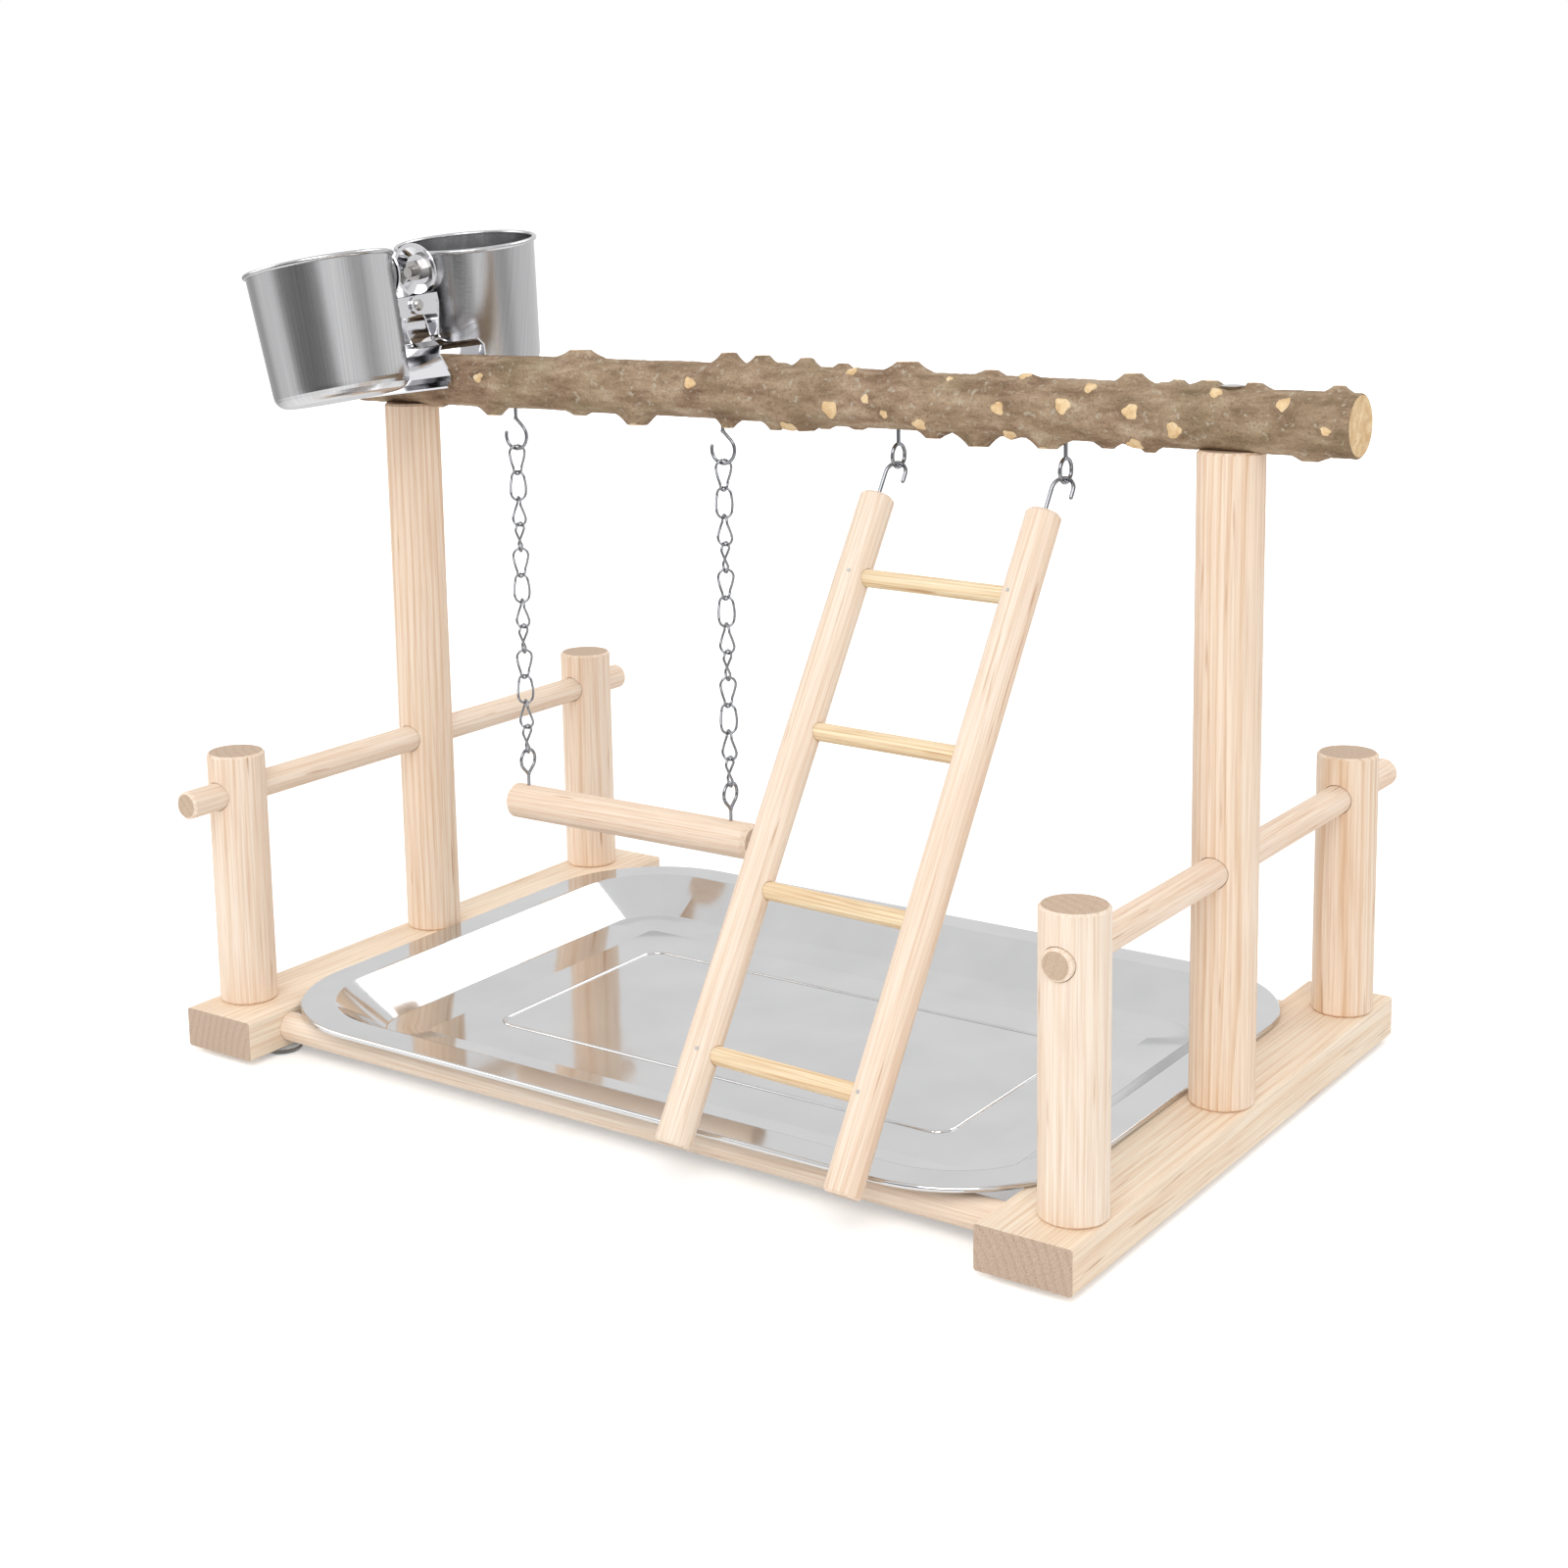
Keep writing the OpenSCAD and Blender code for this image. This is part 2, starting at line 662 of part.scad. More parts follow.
// Tray
module tray_section() {
    t = tray_sheet;
    r = tray_roll_d / 2;
    lines = [
        [r, 0], [rim_width, 0], [rim_width + t, -t / 4], [line_1, -wall_drop],
        [line_1 + t, -wall_drop - t / 4], [line_2, -wall_drop - band_drop],
        [tray_corner_r, -wall_drop - band_drop]
    ];
    translate([-r, -r]) circle(d = tray_roll_d);
    polygon(concat(
        [for (p = lines) [-p[0], p[1]]],
        [for (i = [len(lines) - 1:-1:0]) [-lines[i][0], lines[i][1] - t]]
    ));
}

module tray() {
    straight_x = tray_width - 2 * tray_corner_r;
    straight_y = tray_depth - 2 * tray_corner_r;
    color(steel) translate([0, tray_y, tray_rim_z]) {
        for (i = [0:3])
            rotate([0, 0, 90 * i])
                translate([
                    (i % 2 == 0 ? straight_x : straight_y) / 2,
                    (i % 2 == 0 ? straight_y : straight_x) / 2, 0
                ])
                    rotate_extrude(angle = 90)
                        translate([tray_corner_r, 0]) tray_section();
        for (i = [0:3])
            rotate([0, 0, 90 * i])
                translate([
                    (i % 2 == 0 ? tray_width : tray_depth) / 2,
                    (i % 2 == 0 ? straight_y : straight_x) / 2, 0
                ])
                    rotate([90, 0, 0])
                        linear_extrude(i % 2 == 0 ? straight_y : straight_x) tray_section();
        translate([-straight_x / 2, -straight_y / 2, -wall_drop - band_drop - tray_sheet])
            cube([straight_x, straight_y, tray_sheet]);
        translate([0, 0, -wall_drop - band_drop - tray_sheet / 2]) floor_bead();
    }
}

module floor_bead() {
    corner = 4 * bead_d;
    for (sx = [-1, 1], sy = [-1, 1])
        translate([sx * (bead_length / 2 - corner), sy * (bead_width / 2 - corner), 0])
            rotate([0, 0, sx > 0 ? (sy > 0 ? 0 : 270) : (sy > 0 ? 90 : 180)])
                rotate_extrude(angle = 90)
                    translate([corner, 0]) circle(d = bead_d);
    for (side = [-1, 1]) {
        translate([-bead_length / 2 + corner, side * bead_width / 2, 0])
            rotate([0, 90, 0]) cylinder(d = bead_d, h = bead_length - 2 * corner);
        translate([side * bead_length / 2, -bead_width / 2 + corner, 0])
            rotate([-90, 0, 0]) cylinder(d = bead_d, h = bead_width - 2 * corner);
    }
}

// Ladder: its own frame has the hook line on X, and runs down the rails along -Z
module ladder_frame() {
    translate([ladder_x, 0, pivot_z])
        rotate([0, ladder_roll, 0])
            rotate([-ladder_lean, 0, 0]) children();
}

module ladder_eyes() {
    shank_z = pivot_z - ladder_wire - eye_clear + 2 * ladder_eye_r;
    color(chrome)
        for (side = [-1, 1])
            translate([ladder_x + side * eye_x_step, 0, -side * eye_z_step])
                rotate([0, 0, 90]) {
                    translate([0, 0, shank_z - ladder_eye_r])
                        rotate([90, 0, 0])
                            rotate_extrude() translate([ladder_eye_r, 0]) circle(d = ladder_wire);
                    wire_up(ladder_wire, shank_z, branch_bottom + thread_depth + side * eye_z_step);
                }
}

module rail_place(side) {
    translate([side * ladder_spacing / 2 - ladder_hook_r, 0, 0]) children();
}

module rung_place(n) {
    translate([-ladder_hook_r, 0, -ladder_hook_h - first_rung - (n - 1) * rung_pitch]) children();
}

module nail(side, play) {
    reach = ladder_spacing / 2 - ladder_rail_d / 8;
    translate([side * reach, -ladder_rail_d / 2, 0])
        rotate([-90, 0, 0])
            cylinder(d = nail_d + 2 * play, h = 0.75 * ladder_rail_d + play);
}

module ladder_rail(side) {
    color(pine) ladder_frame() difference() {
        rail_place(side)
            translate([0, 0, -ladder_hook_h - ladder_rail_length])
                bar(ladder_rail_d, ladder_rail_length, post_chamfer);
        rail_place(side)
            translate([0, 0, -ladder_hook_h - thread_depth - fit])
                cylinder(d = ladder_wire + 4 * fit, h = thread_depth + cut);
        for (n = [1:4])
            rung_place(n)
                translate([side * (rung_half + rung_slack), 0, 0])
                    rotate([0, -side * 90, 0])
                        cylinder(d = rung_d + rung_slack, h = rung_socket + cut);
        for (n = nail_rungs)
            rung_place(n) translate([0, -cut, 0]) nail(side, fit);
        for (n = nail_rungs)
            rung_place(n) nail(side, fit);
    }
}

module ladder_rung(n) {
    color(rung_wood) ladder_frame() difference() {
        rung_place(n)
            translate([-rung_half, 0, 0])
                rotate([0, 90, 0]) bar(rung_d, 2 * rung_half, rail_chamfer / 2);
        for (m = nail_rungs, side = [-1, 1])
            rung_place(m) nail(side, fit);
    }
}

module ladder_nails() {
    color(steel) ladder_frame()
        for (n = nail_rungs, side = [-1, 1])
            rung_place(n) nail(side, 0);
}

module ladder_hooks() {
    tip = 0.7 * ladder_hook_r;
    color(chrome) ladder_frame()
        for (side = [-1, 1])
            translate([side * ladder_spacing / 2, 0, -ladder_hook_r]) {
                wire_arc(ladder_wire, ladder_hook_r, 0, 180);
                translate([ladder_hook_r, 0, 0]) wire_up(ladder_wire, -tip, 0);
                translate([ladder_hook_r, 0, -tip]) sphere(d = ladder_wire);
                translate([-ladder_hook_r, 0, 0])
                    wire_up(ladder_wire, ladder_hook_r - ladder_hook_h - thread_depth, 0);
            }
}

// Clip: its own frame has the branch's axis on X, and the front arm on the -Y side
module clip_frame() {
    translate([-clip_distance, 0, branch_z])
        rotate([0, -clip_roll, 0])
            rotate([clip_tilt, 0, 0]) children();
}

// Frame of a disc: origin on the middle of its outer face, -Y pointing out
module disc_frame() {
    translate([0, -disc_reach, disc_h]) rotate([-disc_lean, 0, 0]) children();
}

function unit(v) = v / norm(v);
function left_of(v) = [-v[1], v[0]];
function side_at(line, i) = unit(
    left_of(unit(line[min(i + 1, len(line) - 1)] - line[max(i - 1, 0)]))
);

// A sheet of even thickness along a line
module band(line, t) {
    n = len(line) - 1;
    polygon(concat(
        [for (i = [0:n]) line[i] + side_at(line, i) * t / 2],
        [for (i = [n:-1:0]) line[i] - side_at(line, i) * t / 2]
    ));
}

// Turns an outline of distance out and height into a plate across X
module across(width) {
    translate([width / 2, 0, 0])
        rotate([0, 0, -90]) rotate([90, 0, 0])
            linear_extrude(width) children();
}

module arm_outline() {
    w = arm_width / 2;
    difference() {
        polygon([
            [-w, disc_h], [w, disc_h], [w, jaw_top_z + fillet_r],
            [w + fillet_r, jaw_top_z], [jaw_top_width / 2, jaw_top_z], [jaw_lip_width / 2, 2 * lip_z],
            [-jaw_lip_width / 2, 2 * lip_z], [-jaw_top_width / 2, jaw_top_z],
            [-w - fillet_r, jaw_top_z], [-w, jaw_top_z + fillet_r]
        ]);
        for (side = [-1, 1])
            translate([side * (w + fillet_r), jaw_top_z + fillet_r]) circle(r = fillet_r);
    }
}

module dish() {
    r = disc_d / 2;
    t = clip_sheet;
    rim_h = boss_h + dish_depth;
    rotate([-90, 0, 0])
        rotate_extrude()
            polygon([
                [0, 0], [boss_r, 0], [boss_r, boss_h], [dish_flat_share * r, boss_h],
                [dish_rim_share * r, rim_h], [r, rim_h], [r, rim_h + t],
                [dish_rim_share * r - t / 2, rim_h + t], [dish_flat_share * r - t / 2, boss_h + t],
                [0, boss_h + t]
            ]);
}

module ear(x) {
    for (side = [-1, 1])
        translate([side * (x + clip_sheet / 2), 0, 0])
            across(clip_sheet) {
                polygon([
                    [1.01 * neck_u, pivot_h + ear_r], [0, pivot_h + ear_r], [0, pivot_h - ear_r],
                    [0.88 * neck_u, pivot_h - 1.2 * ear_r]
                ]);
                translate([0, pivot_h]) circle(r = ear_r);
            }
}

module clip_arm(ear_x) {
    color(chrome) difference() {
        union() {
            intersection() {
                across(jaw_lip_width) band(arm_line, clip_sheet);
                translate([0, 2 * jaw_h, 0])
                    rotate([90, 0, 0]) linear_extrude(5 * jaw_h) arm_outline();
            }
            disc_frame() dish();
            ear(ear_x);
        }
        translate([-arm_width, 0, pivot_h])
            rotate([0, 90, 0]) cylinder(d = pin_d + 2 * pin_play, h = 2 * arm_width);
        disc_frame()
            translate([0, -cut, 0])
                rotate([-90, 0, 0]) cylinder(d = bolt_d + 2 * bolt_play, h = disc_d / 2);
        translate([-spring_width / 2 - ear_gap, -2 * jaw_h, slot_bottom_z])
            cube([spring_width + 2 * ear_gap, 2 * jaw_h, slot_top_z - slot_bottom_z]);
    }
}

module clip_front_arm() {
    clip_frame() clip_arm(front_ear_x);
}

module clip_rear_arm() {
    clip_frame() mirror([0, 1, 0]) clip_arm(rear_ear_x);
}

module clip_pivot_pin() {
    half = arm_width / 2 + pin_play;
    color(steel) clip_frame()
        translate([0, 0, pivot_h])
            rotate([0, 90, 0]) {
                translate([0, 0, -half]) cylinder(d = pin_d, h = 2 * half);
                for (side = [-1, 1])
                    translate([0, 0, side * half])
                        mirror([0, 0, side < 0 ? 1 : 0])
                            cylinder(d1 = pin_head_d, d2 = 0.7 * pin_head_d, h = pin_head_h);
            }
}

// Half of the spring's line: from its crown down one leg and out through the slot
spring_line = concat(
    [for (a = [90:-15:0]) [spring_r * cos(a), spring_z + spring_r * sin(a)]],
    [[spring_foot_u, spring_tab_z], [spring_tab_u, spring_tab_z + spring_sheet / 2]]
);

module clip_spring() {
    color(chrome) clip_frame()
        for (side = [0, 1])
            mirror([0, side, 0]) across(spring_width) band(spring_line, spring_sheet);
}

// Cups: the rim's top is at Z = 0 and the bolt's hole faces +Y
module cup() {
    r = cup_corner_r;
    t = cup_sheet;
    base_r = cup_base_d / 2;
    color(steel) difference() {
        union() {
            rotate_extrude() polygon(concat(
                [[cup_top_r, cup_lip_z]],
                [for (a = [0:-15:-90])
                    [base_r - r + r * cos(a), -cup_h + r + r * sin(a)]],
                [[0, -cup_h], [0, t - cup_h]],
                [for (a = [-90:15:0])
                    [base_r - r + (r - t) * cos(a), -cup_h + r + (r - t) * sin(a)]],
                [[cup_top_r - t, cup_lip_z]]
            ));
            rotate_extrude()
                translate([cup_rim_d / 2 - cup_roll_d / 2, -cup_roll_d / 2]) circle(d = cup_roll_d);
        }
        translate([0, 0, -bolt_drop])
            rotate([-90, 0, 0]) cylinder(d = bolt_d + 2 * bolt_play, h = cup_rim_d);
    }
}

// Places a cup on a disc, turned about its bolt
module cup_place(turn) {
    disc_frame()
        rotate([0, turn, 0])
            rotate([cup_slope, 0, 0])
                translate([0, -bolt_wall_r - touch_gap / 2, bolt_drop]) children();
}

module front_cup() {
    clip_frame() cup_place(-front_cup_turn) cup();
}

module rear_cup() {
    clip_frame() mirror([0, 1, 0]) cup_place(rear_cup_turn) cup();
}

module cup_bolt() {
    inside = cup_sheet + touch_gap / 2 + bolt_head_gap;
    color(steel) disc_frame()
        rotate([-90, 0, 0]) {
            translate([0, 0, -inside]) cylinder(d = bolt_d, h = inside + bolt_reach);
            translate([0, 0, -inside - bolt_head_h])
                cylinder(d1 = 0.8 * bolt_head_d, d2 = bolt_head_d, h = bolt_head_h);
        }
}

module cup_nut() {
    color(steel) disc_frame()
        rotate([-90, 0, 0])
            translate([0, 0, boss_h + clip_sheet + fit])
                difference() {
                    cylinder(d = nut_d, h = nut_h, $fn = 6);
                    translate([0, 0, -cut]) cylinder(d = bolt_d + 2 * fit, h = nut_h + 2 * cut);
                }
}

module rear_side() {
    clip_frame() mirror([0, 1, 0]) children();
}

// Moves the whole part so that the origin is under the middle of its outline
module from_middle() {
    translate([-outline_right, -outline_back, 0]) children();
}

from_middle() base_rail(-1);  // base_rail_left
from_middle() base_rail(1);  // base_rail_right
from_middle() cross_dowel(-dowel_y);  // cross_dowel_front
from_middle() cross_dowel(dowel_y);  // cross_dowel_rear
from_middle() bumper_feet();
from_middle() post_screws();
from_middle() tall_post(-1);  // tall_post_left
from_middle() tall_post(1);  // tall_post_right
from_middle() short_post_left_front();
from_middle() short_post(-1, short_post_y);  // short_post_left_rear
from_middle() short_post(1, -short_post_y);  // short_post_right_front
from_middle() short_post(1, short_post_y);  // short_post_right_rear
from_middle() side_perch(-1, left_perch_shift);  // side_perch_left
from_middle() side_perch(1, right_perch_shift);  // side_perch_right
from_middle() branch_perch();
from_middle() branch_screws();
from_middle() swing_hooks();
from_middle() ladder_eyes();
from_middle() tray();
from_middle() swing_top_links();
from_middle() chain_part(left_hook_x, 2, last_link - 1);  // swing_chain_left
from_middle() chain_part(right_hook_x, 2, last_link - 1);  // swing_chain_right
from_middle() end_link(left_hook_x);  // swing_bottom_link_left
from_middle() end_link(right_hook_x);  // swing_bottom_link_right
from_middle() swing_eyes();
from_middle() swing_perch();
from_middle() ladder_rail(-1);  // ladder_rail_left
from_middle() ladder_rail(1);  // ladder_rail_right
from_middle() ladder_rung(1);  // ladder_rung_1
from_middle() ladder_rung(2);  // ladder_rung_2
from_middle() ladder_rung(3);  // ladder_rung_3
from_middle() ladder_rung(4);  // ladder_rung_4
from_middle() ladder_nails();
from_middle() ladder_hooks();
from_middle() clip_front_arm();
from_middle() clip_rear_arm();
from_middle() clip_pivot_pin();
from_middle() clip_spring();
from_middle() clip_frame() cup_bolt();  // front_cup_bolt
from_middle() rear_side() cup_bolt();  // rear_cup_bolt
from_middle() clip_frame() cup_nut();  // front_cup_nut
from_middle() rear_side() cup_nut();  // rear_cup_nut
from_middle() front_cup();
from_middle() rear_cup();
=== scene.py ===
import math
import random

import bpy
import numpy as np
from mathutils import Matrix, Vector, noise

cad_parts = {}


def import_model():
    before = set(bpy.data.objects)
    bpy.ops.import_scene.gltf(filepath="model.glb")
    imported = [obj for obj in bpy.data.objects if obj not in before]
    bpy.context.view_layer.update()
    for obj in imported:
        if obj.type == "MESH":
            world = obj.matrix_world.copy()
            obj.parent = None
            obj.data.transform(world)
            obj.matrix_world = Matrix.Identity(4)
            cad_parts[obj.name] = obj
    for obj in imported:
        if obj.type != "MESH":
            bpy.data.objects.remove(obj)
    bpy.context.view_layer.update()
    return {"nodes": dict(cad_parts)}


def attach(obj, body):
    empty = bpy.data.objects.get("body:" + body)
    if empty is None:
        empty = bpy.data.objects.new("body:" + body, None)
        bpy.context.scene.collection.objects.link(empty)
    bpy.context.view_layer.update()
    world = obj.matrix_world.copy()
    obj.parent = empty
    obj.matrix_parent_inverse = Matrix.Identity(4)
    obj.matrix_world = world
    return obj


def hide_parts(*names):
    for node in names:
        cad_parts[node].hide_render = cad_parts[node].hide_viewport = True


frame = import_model()
nodes = frame["nodes"]
scene = bpy.context.scene
MM = 0.001
FULL_TURN = 2 * math.pi
UP = Vector((0, 0, 1))
# Sizes in mm are measured from the middle of the base, which lies here from the origin
BASE_MIDDLE = np.array((-4.4, -3.1, 0.0))


def rgb(r, g, b):
    """A colour written as sRGB, 0 to 255."""
    def linear(v):
        v /= 255
        return v / 12.92 if v <= 0.04045 else ((v + 0.055) / 1.055) ** 2.4
    return (linear(r), linear(g), linear(b), 1.0)


def level(v):
    """A linear grey."""
    return (v, v, v, 1)


# ---- Short ways to build node trees
class Tree:
    def __init__(self, owner):
        owner.use_nodes = True
        self.tree = owner.node_tree
        self.tree.nodes.clear()

    def link(self, a, b):
        self.tree.links.new(a, b)

    def put(self, socket, value):
        if isinstance(value, bpy.types.NodeSocket):
            self.link(value, socket)
        else:
            socket.default_value = value

    def add(self, kind, **settings):
        n = self.tree.nodes.new("ShaderNode" + kind)
        for key, value in settings.items():
            setattr(n, key, value)
        return n

    def node(self, kind, *inputs, out=0, **settings):
        n = self.add(kind, **settings)
        for socket, value in zip(n.inputs, inputs):
            self.put(socket, value)
        return n.outputs[out]

    def math(self, op, *inputs, clamp=False):
        return self.node("Math", *inputs, operation=op, use_clamp=clamp)

    def vector(self, op, *inputs, out=0):
        return self.node("VectorMath", *inputs, operation=op, out=out)

    def dot(self, a, b):
        return self.vector("DOT_PRODUCT", a, b, out=1)

    def stretch(self, where, x, y, z):
        return self.vector("MULTIPLY", where, (x, y, z))

    def noise(self, where, scale, detail=3.0, rough=0.5, out="Fac", distortion=0.0):
        n = self.add("TexNoise")
        self.put(n.inputs["Vector"], where)
        n.inputs["Scale"].default_value = scale
        n.inputs["Detail"].default_value = detail
        n.inputs["Roughness"].default_value = rough
        n.inputs["Distortion"].default_value = distortion
        return n.outputs[out]

    def ramp(self, value, stops):
        n = self.add("ValToRGB")
        elements = n.color_ramp.elements
        while len(elements) < len(stops):
            elements.new(0.5)
        for element, (at, colour) in zip(elements, stops):
            element.position = at
            element.color = colour
        self.link(value, n.inputs[0])
        return n.outputs[0]

    def grey(self, value, *stops):
        return self.ramp(value, [(at, level(v)) for at, v in stops])

    def mix(self, fac, a, b, kind="MIX"):
        n = self.add("Mix", data_type="RGBA", blend_type=kind)
        # Sockets 0, 6 and 7 are the factor and both colours, and output 2 is the colour
        for socket, value in zip((n.inputs[0], n.inputs[6], n.inputs[7]), (fac, a, b)):
            self.put(socket, value)
        return n.outputs[2]

    def tint(self, fac, colour, tone):
        return self.mix(fac, colour, tone, "MULTIPLY")

    def bump(self, height, strength, distance):
        n = self.add("Bump")
        n.inputs["Strength"].default_value = strength
        n.inputs["Distance"].default_value = distance
        self.link(height, n.inputs["Height"])
        return n.outputs[0]

    def coord(self, out="Object"):
        return self.add("TexCoord").outputs[out]

    def placed(self, turn, shift):
        """Object coordinates, turned and then shifted."""
        n = self.add("Mapping")
        n.inputs["Location"].default_value = shift
        n.inputs["Rotation"].default_value = turn.to_euler("XYZ")
        self.link(self.coord(), n.inputs["Vector"])
        return n.outputs[0]

    def ray(self, kind):
        return self.add("LightPath").outputs[f"Is {kind} Ray"]


class Shader(Tree):
    def __init__(self, name):
        self.material = bpy.data.materials.new(name)
        super().__init__(self.material)
        self.out = self.add("OutputMaterial")
        self.bsdf = self.add("BsdfPrincipled")
        self.link(self.bsdf.outputs[0], self.out.inputs[0])

    def set(self, **values):
        for key, value in values.items():
            self.put(self.bsdf.inputs[key.replace("_", " ")], value)

    def set_value(self, name, value):
        self.bsdf.inputs[name].default_value = value


# ---- Pieces and their meshes
def dress(node, material):
    mesh = nodes[node].data
    mesh.materials.clear()
    mesh.materials.append(material)


def cloud(node):
    mesh = nodes[node].data
    co = np.zeros(len(mesh.vertices) * 3)
    mesh.vertices.foreach_get("co", co)
    return co.reshape(-1, 3)


def middle_of(points):
    return Vector((points.min(0) + points.max(0)) / 2)


def long_axis(points):
    spread = np.linalg.svd(points - points.mean(0), full_matrices=False)[2][0]
    if spread[np.argmax(abs(spread))] < 0:
        spread = -spread
    return Vector(spread).normalized()


def metres(points):
    """Points in mm from the middle of the base, as metres from the origin."""
    return ((np.array(points) + BASE_MIDDLE) * MM).tolist()


def mesh_object(name, verts, faces, material):
    mesh = bpy.data.meshes.new(name)
    mesh.from_pydata(verts, [], faces)
    mesh.materials.append(material)
    made = bpy.data.objects.new(name, mesh)
    scene.collection.objects.link(made)
    return made


def smooth(mesh):
    mesh.polygons.foreach_set("use_smooth", [True] * len(mesh.polygons))
    mesh.update()


# ---- Wood. Scales of noise are per metre, across and along the grain
RING_WARP, RING_JITTER, RING_DEPTH = (26, 7), (27, 6), (30, 5)
PATCHES, FIBRES, FLECKS, PORES = (22, 6), (1500, 26), (520, 30), 2600
RING_WANDER = 4.4 * MM
# Darkness over one growth ring, from its start (0) to its end (1)
RING = [(0.0, 0.25), (0.1, 0.0), (0.5, 0.12), (0.86, 0.9), (0.95, 1.0), (1.0, 0.3)]
PINK, FIBRE_TONE, FLECK_TONE = rgb(252, 236, 224), rgb(222, 200, 178), rgb(190, 140, 96)
END_RING, PORE_TONE = rgb(196, 160, 130), rgb(232, 214, 194)


def wood(name, middle, axis, seed, pith, pitch, pale, late, contrast,
         end=rgb(196, 168, 142), fibre=1.0):
    """Growth rings round a pith beside the piece's middle; pith and pitch are in mm."""
    dice = random.Random(seed)
    s = Shader(name)
    turn = axis.rotation_difference(UP).to_matrix()
    turn = Matrix.Rotation(dice.uniform(0, FULL_TURN), 3, "Z") @ turn
    offset = Vector((pith[0] * MM, pith[1] * MM, dice.uniform(-3, 3)))
    p = s.placed(turn, offset - turn @ middle)

    def streaks(scales, detail, rough=0.5, out="Fac"):
        across, along = scales
        return s.noise(s.stretch(p, across, across, along), 1.0, detail, rough, out)

    # The rings wander a little along the grain
    warp = s.vector("SUBTRACT", streaks(RING_WARP, 2.0, out="Color"), (0.5, 0.5, 0.5))
    warp = s.stretch(warp, RING_WANDER, RING_WANDER, RING_WANDER)
    away = s.vector("LENGTH", s.stretch(s.vector("ADD", p, warp), 1, 1, 0), out=1)
    turns = s.math("DIVIDE", away, pitch * MM)
    turns = s.math("ADD", turns, s.math("MULTIPLY", streaks(RING_JITTER, 1.0), 1.4))
    depth = s.math("MULTIPLY_ADD", streaks(RING_DEPTH, 2.0), 1.3, 0.25)
    ring = s.math("MULTIPLY", s.grey(s.math("FRACT", turns), *RING), depth)
    ring = s.math("MULTIPLY", ring, contrast, clamp=True)
    colour = s.mix(ring, pale, late)
    # Broad pinkish patches, fine fibres and rare resin flecks
    colour = s.tint(s.grey(streaks(PATCHES, 3.0), (0.35, 0.0), (0.7, 0.55)), colour, PINK)
    hair = streaks(FIBRES, 3.0, 0.6)
    seen_hair = s.math("MULTIPLY", s.grey(hair, (0.42, 0.0), (0.7, 0.55)), fibre)
    colour = s.tint(seen_hair, colour, FIBRE_TONE)
    colour = s.mix(s.grey(streaks(FLECKS, 1.0), (0.70, 0.0), (0.78, 0.7)), colour, FLECK_TONE)
    # End grain: darker and greyer, with pores and the same rings
    facing = s.math("ABSOLUTE", s.dot(s.coord("Normal"), tuple(axis)))
    facing = s.grey(facing, (0.80, 0.0), (0.93, 1.0))
    pores = s.noise(p, PORES, 2.0, 0.7)
    grain = s.tint(s.math("MULTIPLY", ring, 0.7), end, END_RING)
    grain = s.mix(s.grey(pores, (0.35, 0.0), (0.65, 0.5)), grain, PORE_TONE)
    # The rings lie low, the fibres and the pores of the ends stand out
    height = s.math("ADD", s.math("MULTIPLY", ring, -0.35), s.math("MULTIPLY", hair, 0.8))
    end_height = s.math("MULTIPLY", s.math("MULTIPLY", pores, facing), 0.9)
    height = s.math("ADD", height, end_height)
    s.set(Base_Color=s.mix(facing, colour, grain),
          Roughness=s.grey(hair, (0.3, 0.50), (0.7, 0.64)),
          Normal=s.bump(height, 0.35, 0.4 * MM))
    s.set_value("Specular IOR Level", 0.35)
    return s.material


BASE_PINE = dict(pale=rgb(250, 236, 216), late=rgb(236, 208, 176), contrast=0.48,
                 end=rgb(186, 160, 140))
SIDE_PINE = dict(pale=rgb(251, 236, 219), late=rgb(238, 209, 180), contrast=0.4)
POST_PINE = dict(pale=rgb(250, 233, 214), late=rgb(229, 194, 156), contrast=0.66)
RUNG_WOOD = dict(pale=rgb(250, 234, 202), late=rgb(230, 198, 146), contrast=0.7, fibre=1.6)

# Node, seed, place of the pith, pitch of the rings and kind of wood
WOODEN = [
    ("base_rail_left", 3, (6, -34), 3.0, BASE_PINE),
    ("base_rail_right", 8, (16, 30), 3.0, BASE_PINE),
    ("tall_post_left", 11, (46, 10), 2.2, POST_PINE),
    ("tall_post_right", 14, (38, 18), 2.4, POST_PINE),
    ("short_post_left_front", 17, (12, 22), 3.2, SIDE_PINE),
    ("short_post_left_rear", 19, (26, 8), 3.0, SIDE_PINE),
    ("short_post_right_front", 23, (24, 14), 3.2, SIDE_PINE),
    ("short_post_right_rear", 25, (20, 18), 2.8, POST_PINE),
    ("side_perch_left", 27, (30, 8), 2.6, SIDE_PINE),
    ("side_perch_right", 31, (26, 12), 2.8, SIDE_PINE),
    ("cross_dowel_front", 33, (22, 8), 2.4, SIDE_PINE),
    ("cross_dowel_rear", 35, (18, 14), 2.4, SIDE_PINE),
    ("swing_perch", 37, (18, 12), 2.6, SIDE_PINE),
    ("ladder_rail_left", 41, (24, 10), 2.8, SIDE_PINE),
    ("ladder_rail_right", 43, (30, 6), 2.4, SIDE_PINE),
]
WOODEN += [(f"ladder_rung_{n}", 50 + n, (14, 5), 1.1, RUNG_WOOD) for n in range(1, 5)]

for node, seed, pith, pitch, kind in WOODEN:
    points = cloud(node)
    dress(node, wood("wood_" + node, middle_of(points), long_axis(points), seed, pith, pitch,
                     **kind))


